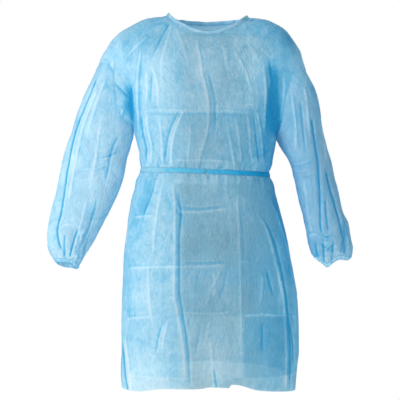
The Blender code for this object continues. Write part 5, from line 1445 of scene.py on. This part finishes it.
class BackPanelsOperator(bpy.types.Operator):
    """Two back panels, the left one lapped over the right one"""
    bl_idname = "gown.back_panels"
    bl_label = "Back panels"

    def execute(self, context):
        g = gown_surfaces()
        back = g["back"]
        columns = back.shape[1]
        centre = columns // 2
        x = back[:, :, 0]
        z = back[:, :, 2]
        near_neck = smooth((z + 0.10) / 0.07)
        lift = OVERLAP_LIFT + (NECK_OVERLAP_LIFT - OVERLAP_LIFT) * near_neck
        lift = lift * smooth((0.112 - x) / 0.032)
        free = np.exp(-((np.arange(columns) - (centre - OVERLAP)) / 16.0) ** 2)[None, :]
        away = smooth((-0.52 - z) / 0.10) + smooth((z + 0.44) / 0.08) * (1 - near_neck) * 0.5
        heights = np.stack([x * 0, x * 0, z], axis=2)
        wave = (0.6 + lumps(heights, 0.085, context.scene.gown_sizes.fabric_seed)) * 0.0035
        lift = lift + np.clip(wave, 0.0, None) * free * away
        g["over"] = back + g["n_back"] * lift[:, :, None]
        for side, grid, cut in (("left", g["over"], slice(centre - OVERLAP, columns)),
                                ("right", back, slice(0, centre + OVERLAP + 1))):
            g["piece_back_panel_" + side] = grid_piece(
                "back_panel_" + side, grid[:, cut], g["tone_back"][:, cut], False, True,
                cloth_material("body_cloth"), ("back_" + side,), g["wash_back"][:, cut])
        return {"FINISHED"}


class SleevesOperator(bpy.types.Operator):
    """Both sleeves, from armhole to cuff"""
    bl_idname = "gown.sleeves"
    bl_label = "Sleeves"

    def execute(self, context):
        g = gown_surfaces()
        for side, flip in (("right", False), ("left", True)):
            sleeve = "sleeve_" + side
            piece = grid_piece("sleeve_panel_" + side, g[sleeve], g["tone_" + sleeve], True, flip,
                               cloth_material("sleeve_cloth", arm=True), (sleeve,),
                               g["wash_" + sleeve])
        return {"FINISHED"}


def cuff_pleats(turn, seed):
    """Height of uneven pleats round a cuff, about a mean of nothing."""
    rng = np.random.default_rng(seed)
    pleat = np.zeros(len(turn))
    for k in range(CUFF_PLEATS):
        at = (k + rng.uniform(0.15, 0.85)) / CUFF_PLEATS * 2 * math.pi
        gap = (turn - at + math.pi) % (2 * math.pi) - math.pi
        pleat += rng.uniform(0.6, 1.2) * np.exp(-(gap / rng.uniform(0.05, 0.085)) ** 2)
    return pleat - pleat.mean()


class CuffsOperator(bpy.types.Operator):
    """Elastic cuffs: a casing drawn in to fine pleats"""
    bl_idname = "gown.cuffs"
    bl_label = "Cuffs"

    def execute(self, context):
        g = gown_surfaces()
        for side, end, flip, seed in (("right", CUFF_RIGHT_END, False, 81),
                                      ("left", CUFF_LEFT_END, True, 82)):
            start = g["sleeve_" + side][-1]
            turn = 2 * math.pi * np.arange(len(start)) / len(start)
            rim = ring_points(end, turn)
            rim[:, 2] += cuff_sag(rim, side)
            out = unit(rim - rim.mean(axis=0))
            pleat = cuff_pleats(turn, seed)
            rings = []
            for part in np.linspace(0, 1, CUFF_RINGS + 1):
                puff = 0.0022 * math.sin(math.pi * min(part * 1.15, 1.0))
                puff -= 0.0012 * smooth((part - 0.75) / 0.25)
                puff = puff + 0.0016 * (0.15 + 0.85 * smooth(part * 1.6)) * pleat
                rings.append(start * (1 - part) + rim * part + out * puff[:, None])
            # The last ring turns the rim in.
            rings.append(rings[-1] - out * 0.0012 + (rim.mean(axis=0) - start.mean(axis=0)) * 0.012)
            rings = np.array(rings)
            # Painted shade between the pleats and painted highlight on their tops, with random mottling; then
            # painted shade along both edges of the casing.
            tone = np.clip(0.20 - pleat[None, :] * 0.26 + 0.12 * lumps(rings, 0.03, seed=27), -0.1, 0.8)
            place = np.arange(len(rings)) / (len(rings) - 1)
            edges = 0.55 * np.exp(-(place / 0.10) ** 2) + 0.60 * smooth((place - 0.90) / 0.06)
            tone = tone + edges[:, None]
            cloth = cloth_material("cuff_cloth", see_through=0.08, puckered=0.5)
            piece = grid_piece("cuff_casing_" + side, rings, tone, True, flip, cloth,
                               ("cuff_" + side,))
        return {"FINISHED"}


def neck_line():
    """Neck edge from the free edge of one back panel round to that of the other, with its directions."""
    g = gown_surfaces()
    neck = slice(SHOULDER, SHOULDER + FRONT_NECK_COLUMNS * COLUMN_STEPS + 1)
    centre = g["back"].shape[1] // 2
    back_right = slice(SHOULDER + 1, centre + OVERLAP + 1)
    back_left = slice(centre - OVERLAP, SHOULDER + BACK_NECK_COLUMNS * COLUMN_STEPS)
    edge = np.concatenate([g["back"][-1, back_right][::-1], g["front"][-1, neck],
                           g["over"][-1, back_left][::-1]])
    flat = np.stack([edge[:, 0], edge[:, 1] * 1.25, np.zeros(len(edge))], axis=1)
    lean = unit(-unit(flat) * BAND_LEAN[0] + np.array([0.0, 0.0, BAND_LEAN[1]]))
    run = unit(np.gradient(edge, axis=0))
    for _ in range(12):
        run[1:-1] = unit(run[:-2] + 2 * run[1:-1] + run[2:])
    lean = unit(lean - run * np.sum(lean * run, axis=1, keepdims=True))
    normal = unit(np.cross(run, lean))
    normal = np.where(np.sum(normal * flat, axis=1, keepdims=True) < 0, -normal, normal)
    return edge, run, lean, normal


class NeckBandOperator(bpy.types.Operator):
    """Folded band round the neck with its row of stitches"""
    bl_idname = "gown.neck_band"
    bl_label = "Neck band"

    def execute(self, context):
        sizes = context.scene.gown_sizes
        edge, run, lean, normal = neck_line()
        high = sizes.band_height
        profile = [(-0.0022, 0.0006), (-0.0008, 0.0011), (0.0012, 0.0009), (0.0035, 0.0013),
                   (0.0065, 0.0013), (high - 0.0009, 0.0009), (high, 0.0000), (high - 0.0008, -0.0011),
                   (0.0060, -0.0015), (0.0015, -0.0014), (-0.0018, -0.0010)]
        sway = lumps(edge, 0.022, seed=91)
        points, faces, uv = join_shells([sweep(edge, lean, normal, profile, width=1.0 + 0.05 * sway,
                                               height=1.0 + 0.3 * sway)])
        tone = 0.12 + 0.25 * lumps(points, 0.02, seed=92)
        for peak in (-0.112, 0.112):
            at_peak = np.exp(-((points[:, 0] - peak) / 0.014) ** 2)
            tone += 0.6 * at_peak * smooth((points[:, 2] + 0.003) / 0.006)
        cloth = cloth_material("band_cloth", see_through=0.05, puckered=0.35)
        piece = make_piece("neck_band", points, faces, uv, tone, cloth, ("neck_binding",))
        line = edge + lean * 0.0012 + normal * 0.0012
        stitches = seam_stitches(line, normal, run, sizes.stitch_length * 0.75)
        thread_piece("neck_band_stitches", [stitches])
        return {"FINISHED"}


def belt_ring(side):
    """Lower and upper edge of the belt from the middle of the front to the middle of the back."""
    g = gown_surfaces()
    half = g["front"].shape[1] // 2
    columns = g["over"].shape[1]
    if side == "left":
        parts = slice(half, None), slice(columns - 2, columns // 2 - 1, -1)
    else:
        parts = slice(half, None, -1), slice(1, columns // 2 + 1)

    def row_of(front, back, row):
        return np.concatenate([front[row, parts[0]], back[row, parts[1]]])

    lower = row_of(g["front"], g["over"], BELT_LOW)
    upper = row_of(g["front"], g["over"], BELT_HIGH)
    return lower, upper, row_of(g["n_front"], g["n_back"], BELT_LOW)


def smooth_path(path, rounds):
    """Evens out a line between its ends, in place."""
    for _ in range(rounds):
        path[1:-1] = (path[:-2] + 2 * path[1:-1] + path[2:]) / 4


class BeltOperator(bpy.types.Operator):
    """Waist tapes sewn on at the middle of the front, and their bar tack"""
    bl_idname = "gown.belt"
    bl_label = "Waist tapes"

    def execute(self, context):
        sizes = context.scene.gown_sizes
        for side, seed in (("left", 95), ("right", 96)):
            lower, upper, n = belt_ring(side)
            path = (lower + upper) / 2
            smooth_path(path, 6)
            run = unit(np.gradient(path, axis=0))
            across = upper - lower
            across = unit(across - run * np.sum(across * run, axis=1, keepdims=True))
            out = unit(np.cross(across, run))
            out = np.where(np.sum(out * n, axis=1, keepdims=True) < 0, -out, out)
            wide = np.linalg.norm(upper - lower, axis=1)
            lift = 0.0007 + 0.0004 * (1 + lumps(path, 0.03, seed + 5))
            if side == "right":
                lift = lift - 0.0002
            profile = flat_profile(1.0, sizes.tape_thickness * 1.15, seam=0.00025)
            points, faces, uv = join_shells([sweep(
                path + out * lift[:, None], across, out, profile,
                width=wide * (0.97 + 0.05 * lumps(path, 0.018, seed)),
                height=1.0 + 0.35 * lumps(path, 0.012, seed + 9))])
            tone = 0.42 + 0.12 * lumps(points, (0.012, 0.012, 0.02), seed)
            # Painted shade: the tape is deeper blue towards the gown's left, away from the lamp, and paler on its
            # right.
            tone += 0.62 * smooth((points[:, 0] + 0.09) / 0.24) - 0.30 * smooth((-0.06 - points[:, 0]) / 0.12)
            piece = make_piece("belt_tape_" + side, points, faces, uv, tone, tape_material(),
                               ("belt_" + side,))
        lower, upper, n = belt_ring("left")
        middle = (lower[0] + upper[0]) / 2 + n[0] * 0.0022
        up = unit(upper[0] - lower[0])
        side = unit(np.cross(n[0], up))
        high = np.linalg.norm(upper[0] - lower[0])
        places = [middle + side * (0.0011 * k) + up * (0.0009 * ((k % 2) * 2 - 1)) for k in range(-2, 3)]
        runs = [unit(up + side * (0.12 if k % 2 else -0.12)) for k in range(5)]
        thread_piece("belt_bar_tack", [stitch_row(places, [n[0]] * 5, runs, high * 0.95, 0.0011)])
        return {"FINISHED"}


def back_surface_trees():
    """Both back panels, ready for rays."""
    g = gown_surfaces()
    meshes = [g["piece_back_panel_" + side].data for side in ("left", "right")]
    return [BVHTree.FromPolygons([v.co for v in mesh.vertices], [p.vertices[:] for p in mesh.polygons])
            for mesh in meshes]


def behind(trees, x, z):
    """Depth of the outermost back cloth at x, z."""
    best = 0.0
    for tree in trees:
        hit = tree.ray_cast(Vector((x, 0.4, z)), Vector((0, -1, 0)))
        if hit[0] is not None:
            best = max(best, hit[0].y)
    return best


def turned(angle, first, second):
    """Matrix that turns the first axis towards the second."""
    spin = np.eye(3)
    spin[first, first] = spin[second, second] = math.cos(angle)
    spin[first, second] = math.sin(angle)
    spin[second, first] = -math.sin(angle)
    return spin


def tied_knot(centre, size, seed):
    """Knot of a flat tape: an upright wrap, a slanting wrap and the bundle that they hold."""
    rng = np.random.default_rng(seed)
    turn = np.linspace(0, 2 * math.pi, KNOT_STEPS + 1)[:-1]
    shells = []
    for tilt, lean, wide, grow in ((0.10, 0.0, 0.95, 1.0), (0.95, 0.25, 0.62, 0.90),
                                   (-0.85, -0.20, 0.62, 0.86)):
        ring = np.stack([np.zeros(KNOT_STEPS), np.cos(turn) * size[1] * 0.80 * grow,
                         np.sin(turn) * size[2] * 0.86 * grow], axis=1)
        side = np.tile(np.array([1.0, 0.0, 0.0]), (KNOT_STEPS, 1))
        spin = turned(tilt, 0, 2) @ turned(-lean, 0, 1)
        ring, out, side = ring @ spin.T, unit(ring) @ spin.T, side @ spin.T
        profile = np.array(flat_profile(size[0] * wide, 0.0016, seam=0.0003))
        ripple = 1 + 0.12 * np.sin(turn * 3 + rng.uniform(0, 6))
        rings = ring[:, None, :] + side[:, None, :] * (profile[:, 0] * ripple[:, None])[:, :, None] \
            + out[:, None, :] * profile[None, :, 1, None]
        rings = (rings + np.asarray(centre)).reshape(-1, 3)
        cols = len(profile)
        faces = [tuple(f) for f in quad_faces(KNOT_STEPS + 1, cols, True, False) % len(rings)]
        uv = np.stack(np.broadcast_arrays(profile[None, :, 0], (turn * size[2])[:, None]), axis=2)
        shells.append((rings, faces, uv.reshape(-1, 2)))
    return join_shells(shells)


def hanging_path(trees, knot, width, length, sign):
    """Middle line of a free tape end: from its knot down over the back cloth, to the side of its sign."""
    centre, size = knot
    t = np.linspace(0, 1, 90) ** 1.15
    x = sign * (width / 2 + 0.0005 + 0.024 * smooth(t * 1.3)) + 0.002 * np.sin(t * 5.0)
    z = centre[2] - size[2] - 0.0004 + 0.006 * (1 - smooth(t * 12)) - length * t
    cloth = np.array([max(behind(trees, at_x + dx, at_z) for dx in (-width / 2, 0, width / 2))
                      for at_x, at_z in zip(x, z)])
    for _ in range(10):
        cloth[1:-1] = np.maximum(cloth[1:-1], (cloth[:-2] + cloth[2:]) / 2)
    y = cloth + 0.0016
    y = y + (centre[1] - y) * (1 - smooth(t * length / 0.030))
    path = np.stack([x, y, z], axis=1)
    smooth_path(path, 8)
    return path, t


class BackTiesOperator(bpy.types.Operator):
    """Tied neck and waist tapes at the back: knots and hanging ends"""
    bl_idname = "gown.back_ties"
    bl_label = "Back ties"

    def execute(self, context):
        sizes = context.scene.gown_sizes
        trees = back_surface_trees()
        tape = tape_material()
        for kind, end_name, width, lengths, seed in (
                ("belt", "belt_tail_", sizes.belt_tail_width, BELT_ENDS, 101),
                ("neck", "neck_tie_", sizes.neck_tie_width, NECK_ENDS, 102)):
            low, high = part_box(kind + "_knot")
            centre = (np.array(low) + np.array(high)) / 2
            size = (np.array(high) - np.array(low)) / 2
            points, faces, uv = tied_knot(centre, size, seed)
            tone = 0.35 + 0.3 * lumps(points, 0.006, seed=103)
            make_piece(kind + "_tied_knot", points, faces, uv, tone, tape, (kind + "_knot",))
            for side, sign, length in (("left", 1.0, lengths[0]), ("right", -1.0, lengths[1])):
                path, t = hanging_path(trees, (centre, size), width, length, sign)
                run = unit(np.gradient(path, axis=0))
                sway = 0.30 * np.sin(t * 4.2 + sign) * smooth(t * 3) * 0.5
                out = unit(np.stack([sway, np.ones(len(t)), np.zeros(len(t))], axis=1))
                out = unit(out - run * np.sum(out * run, axis=1, keepdims=True))
                profile = flat_profile(width, sizes.tape_thickness, seam=0.0002)
                points, faces, uv = join_shells([sweep(path, unit(np.cross(out, run)), out, profile,
                                                       height=1 + 0.3 * lumps(path, 0.02, seed=105))])
                tone = 0.30 + 0.25 * lumps(points, (0.01, 0.01, 0.03), seed=104)
                piece = make_piece("%s_end_%s" % (kind, side), points, faces, uv, tone, tape,
                                   (end_name + side,))
        return {"FINISHED"}


class SeamStitchesOperator(bpy.types.Operator):
    """Overlock stitches at armholes, side seams and shoulders"""
    bl_idname = "gown.seam_stitches"
    bl_label = "Seam stitches"

    def execute(self, context):
        length = context.scene.gown_sizes.stitch_length
        g = gown_surfaces()
        sleeve_part = slice(UNDERARM + 4, None)
        for side, k, inner in (("right", 0, 3), ("left", -1, -4)):
            rows = []
            for face in ("front", "back"):
                grid = g["over"] if face == "back" and side == "left" else g[face]
                normal = g["n_" + face]
                rim = grid[sleeve_part, k]
                inset = grid[sleeve_part, inner]
                between = normal[sleeve_part, k] + normal[sleeve_part, inner]
                rows.append(seam_stitches((rim + inset) / 2, between, unit(rim - inset), length, lift=0.3))
            thread_piece("armhole_stitches_" + side, rows)
            shoulder = slice(2, SHOULDER - 2) if side == "right" else slice(-SHOULDER + 2, -2)
            for seam, cut in (("side", (slice(3, UNDERARM - 3), k)), ("shoulder", (-1, shoulder))):
                line = g["front"][cut]
                normal = g["n_front"][cut]
                across = np.cross(normal, unit(np.gradient(line, axis=0)))
                row = seam_stitches(line, normal, across, length)
                thread_piece("%s_stitches_%s" % (seam, side), [row])
        return {"FINISHED"}


STEPS_IN_ORDER = (StageOperator, FrontPanelOperator, BackPanelsOperator, SleevesOperator, CuffsOperator,
                  NeckBandOperator, BeltOperator, BackTiesOperator, SeamStitchesOperator)


class GownPanel(bpy.types.Panel):
    """Sizes, colours and the steps that build the gown"""
    bl_idname = "VIEW3D_PT_gown"
    bl_label = "Disposable Gown"
    bl_space_type = "VIEW_3D"
    bl_region_type = "UI"
    bl_category = "Gown"

    def draw(self, context):
        for title, group in (("Sizes", context.scene.gown_sizes),
                             ("Colours and light", context.scene.gown_colours)):
            box = self.layout.box()
            box.label(text=title)
            for name in group.__annotations__:
                box.prop(group, name)
        for step in STEPS_IN_ORDER:
            self.layout.operator(step.bl_idname)


CLASSES = (GownSizes, GownColours, *STEPS_IN_ORDER, GownPanel)


def register():
    for cls in CLASSES:
        bpy.utils.register_class(cls)
    bpy.types.Scene.gown_sizes = PointerProperty(type=GownSizes)
    bpy.types.Scene.gown_colours = PointerProperty(type=GownColours)


def unregister():
    del bpy.types.Scene.gown_colours
    del bpy.types.Scene.gown_sizes
    for cls in reversed(CLASSES):
        bpy.utils.unregister_class(cls)


def main():
    register()
    bpy.ops.gown.stage()
    bpy.ops.gown.front_panel()
    bpy.ops.gown.back_panels()
    bpy.ops.gown.sleeves()
    bpy.ops.gown.cuffs()
    bpy.ops.gown.neck_band()
    bpy.ops.gown.belt()
    bpy.ops.gown.back_ties()
    bpy.ops.gown.seam_stitches()


if __name__ == "__main__":
    main()
